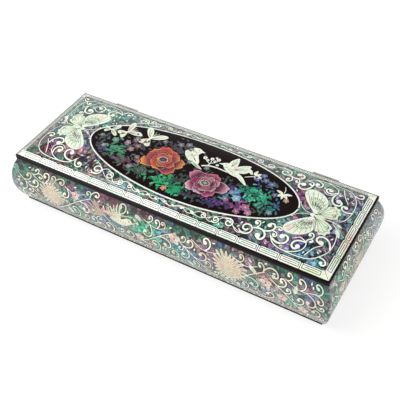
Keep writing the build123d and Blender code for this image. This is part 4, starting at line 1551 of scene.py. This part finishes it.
            x = u + (-6 + k * 2.6) * size
            layer.strip(smooth([(x, v - 1.8), (x + 1.2, v + 0.4), (x + 0.8, v + 2.0)], 4), 0.28, self.ink, 0.8, 0.03)
        scrolls.take(oval(17 * size, 4, 40) + [u, v], 3.0)
        plumes = np.array([(-27, 6), (-20, 5), (-13, 4), (-4, 9), (-1, 13)])
        scrolls.take(plumes + [u, v], 4.5)

    def linings(self) -> None:
        """Makes the velvet linings, the floor pad and the felt underneath."""
        for name in ("front", "back", "left", "right"):
            covered(f"{name}_lining_velvet", f"{name}_lining", 0, "case")
        covered("floor_pad_velvet", "floor_lining", 1, "case")
        felt = covered("base_felt_sheet", "base_felt", 0, "case", FELT)


def covered(name: str, cad: str, crown: int, body: str, finish: Finish = VELVET) -> bpy.types.Object:
    """Makes and dresses a pad that stands for a CAD node.

    Args:
        name: the piece's name.
        cad: the CAD node that it stands for.
        crown: 1 crowns its top, -1 its underside, 0 neither.
        body: the CAD body that it rides on.
        finish: what it is made of.

    Returns:
        The pad.
    """
    piece = dress(velvet_pad(name, cad, crown), finish, body)
    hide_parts(cad)
    return piece


ROUNDING, FALL = 0.38, 0.22  # a pad's rounded edge and its crown's fall, as shares of its thickness


def velvet_pad(name: str, cad: str, crown: int) -> bpy.types.Object:
    """Makes a thin pad in a CAD node's place, its edges rounded over and its face softly crowned.

    Args:
        name: the piece's name.
        cad: the CAD node whose place it takes.
        crown: 1 crowns its top, -1 its underside, 0 neither.

    Returns:
        The pad.
    """
    low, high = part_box(cad)
    size, centre = high - low, (high + low) / 2
    bpy.ops.object.select_all(action="DESELECT")
    bpy.ops.mesh.primitive_cube_add(size=1, location=centre)
    pad = bpy.context.object
    pad.name = name
    pad.scale = size
    bpy.ops.object.transform_apply(location=True, rotation=True, scale=True)
    thin = min(size)
    soft = pad.modifiers.new("rounding", "BEVEL")
    soft.width, soft.segments, soft.limit_method = thin * ROUNDING, 4, "NONE"
    bpy.ops.object.modifier_apply(modifier=soft.name)
    bpy.ops.object.mode_set(mode="EDIT")
    bpy.ops.mesh.select_all(action="SELECT")
    bpy.ops.mesh.subdivide(number_cuts=14)
    bpy.ops.object.mode_set(mode="OBJECT")
    if crown:
        fall = thin * FALL
        for vertex in pad.data.vertices:
            u = abs(vertex.co.x - centre.x) / (size.x / 2)
            v = abs(vertex.co.y - centre.y) / (size.y / 2)
            rise = (vertex.co.z - centre.z) / (size.z / 2)
            if rise * crown > 0.3:
                vertex.co.z -= crown * fall * max(u ** 10, v ** 6)
    bpy.ops.object.shade_smooth_by_angle(angle=math.radians(50))
    return pad


# ------------------------------------------------------------------ the setting
@dataclass
class Studio:
    """The white table, plain soft light and the photograph's viewpoint."""

    azimuth: float = 32.10
    elevation: float = 44.89
    distance: float = 0.6438
    target: tuple[float, float, float] = (0.02541, -0.02442, 0.060)
    roll: float = -2.50
    lens: float = 64.125
    room: float = 0.74
    lamp: float = 11.0
    fill: float = 4.0
    ceiling: tuple[float, float] = (0.56, 0.73)
    zenith: float = 0.10
    glow: float = 0.75

    def build(self) -> None:
        """Sets up the floor, the light and the camera."""
        self.floor()
        self.lamps()
        self.camera()
        bpy.context.scene.view_settings.view_transform = "Standard"

    def floor(self) -> None:
        """Lays the white table top."""
        bpy.ops.object.select_all(action="DESELECT")
        bpy.ops.mesh.primitive_plane_add(size=6, location=(0, 0, -0.0002))
        floor = bpy.context.object
        floor.name = "table"
        material = bpy.data.materials.new("white_table")
        material.use_nodes = True
        tree = material.node_tree
        tree.nodes.clear()
        matt = node(tree, "ShaderNodeBsdfDiffuse", {"Color": linear("#f7f7f5")})
        glow = node(tree, "ShaderNodeEmission", {"Color": (1, 1, 1, 1), "Strength": 1.0})
        rays = node(tree, "ShaderNodeLightPath")
        share = node(tree, "ShaderNodeMath", {0: rays.outputs["Is Camera Ray"], 1: self.glow}, operation="MULTIPLY")
        both = node(tree, "ShaderNodeMixShader", {0: share.outputs[0], 1: matt.outputs[0], 2: glow.outputs[0]})
        node(tree, "ShaderNodeOutputMaterial", {"Surface": both.outputs[0]})
        floor.data.materials.append(material)

    def lamps(self) -> None:
        """Lights the box from a pale room, a large softbox and a weaker lamp of the same size at its right."""
        world = bpy.data.worlds.new("pale_room")
        bpy.context.scene.world = world
        world.use_nodes = True
        tree = world.node_tree
        tree.nodes.clear()
        rays = node(tree, "ShaderNodeLightPath")
        seen = node(tree, "ShaderNodeMath", {0: rays.outputs["Is Camera Ray"], 1: rays.outputs["Is Transmission Ray"]},
                    operation="MAXIMUM")
        way = node(tree, "ShaderNodeSeparateXYZ", {0: node(tree, "ShaderNodeTexCoord").outputs["Generated"]})
        ceiling = node(tree, "ShaderNodeMapRange", {"Value": way.outputs["Z"], "From Min": self.ceiling[0],
                                                    "From Max": self.ceiling[1], "To Min": 1.0, "To Max": self.zenith},
                       interpolation_type="SMOOTHSTEP")
        lit = node(tree, "ShaderNodeMix", {0: rays.outputs["Is Glossy Ray"], 2: self.room,
                                           3: ceiling.outputs["Result"]}, data_type="FLOAT")
        level = node(tree, "ShaderNodeMix", {0: seen.outputs[0], 2: lit.outputs[0], 3: 1.0}, data_type="FLOAT")
        sky = node(tree, "ShaderNodeBackground", {"Color": (1, 1, 1, 1), "Strength": level.outputs[0]})
        node(tree, "ShaderNodeOutputWorld", {"Surface": sky.outputs[0]})
        for name, place, energy in (("softbox", Vector((-0.55, -0.45, 1.0)), self.lamp),
                                    ("right_fill", Vector((1.1, -0.35, 0.55)), self.fill)):
            lamp = bpy.data.lights.new(name, "AREA")
            lamp.shape, lamp.size, lamp.size_y, lamp.energy = "RECTANGLE", 0.9, 0.6, energy
            holder = bpy.data.objects.new(name, lamp)
            holder.matrix_world = Matrix.Translation(place) @ (-place).to_track_quat("-Z", "Y").to_matrix().to_4x4()
            bpy.context.scene.collection.objects.link(holder)

    def camera(self) -> None:
        """Stands the camera where the photograph was taken from."""
        az, el, roll = (math.radians(a) for a in (self.azimuth, self.elevation, self.roll))
        back = Vector((math.cos(el) * math.sin(az), -math.cos(el) * math.cos(az), math.sin(el)))
        right = Vector((0, 0, 1)).cross(back).normalized()
        up = back.cross(right)
        tilted = math.cos(roll) * right + math.sin(roll) * up
        raised = -math.sin(roll) * right + math.cos(roll) * up
        turn = Matrix((tilted, raised, back)).transposed()
        data = bpy.data.cameras.new("camera")
        data.lens, data.sensor_width = self.lens, 36
        data.clip_start = 0.01
        camera = bpy.data.objects.new("camera", data)
        camera.matrix_world = Matrix.Translation(Vector(self.target) + back * self.distance) @ turn.to_4x4()
        bpy.context.scene.collection.objects.link(camera)
        bpy.context.scene.camera = camera


def main() -> None:
    """Builds the lid, the case and the studio."""
    logging.basicConfig(level=logging.INFO, format="%(message)s")
    Lid().build()
    Case().build()
    Studio().build()


if __name__ == "__main__":
    main()
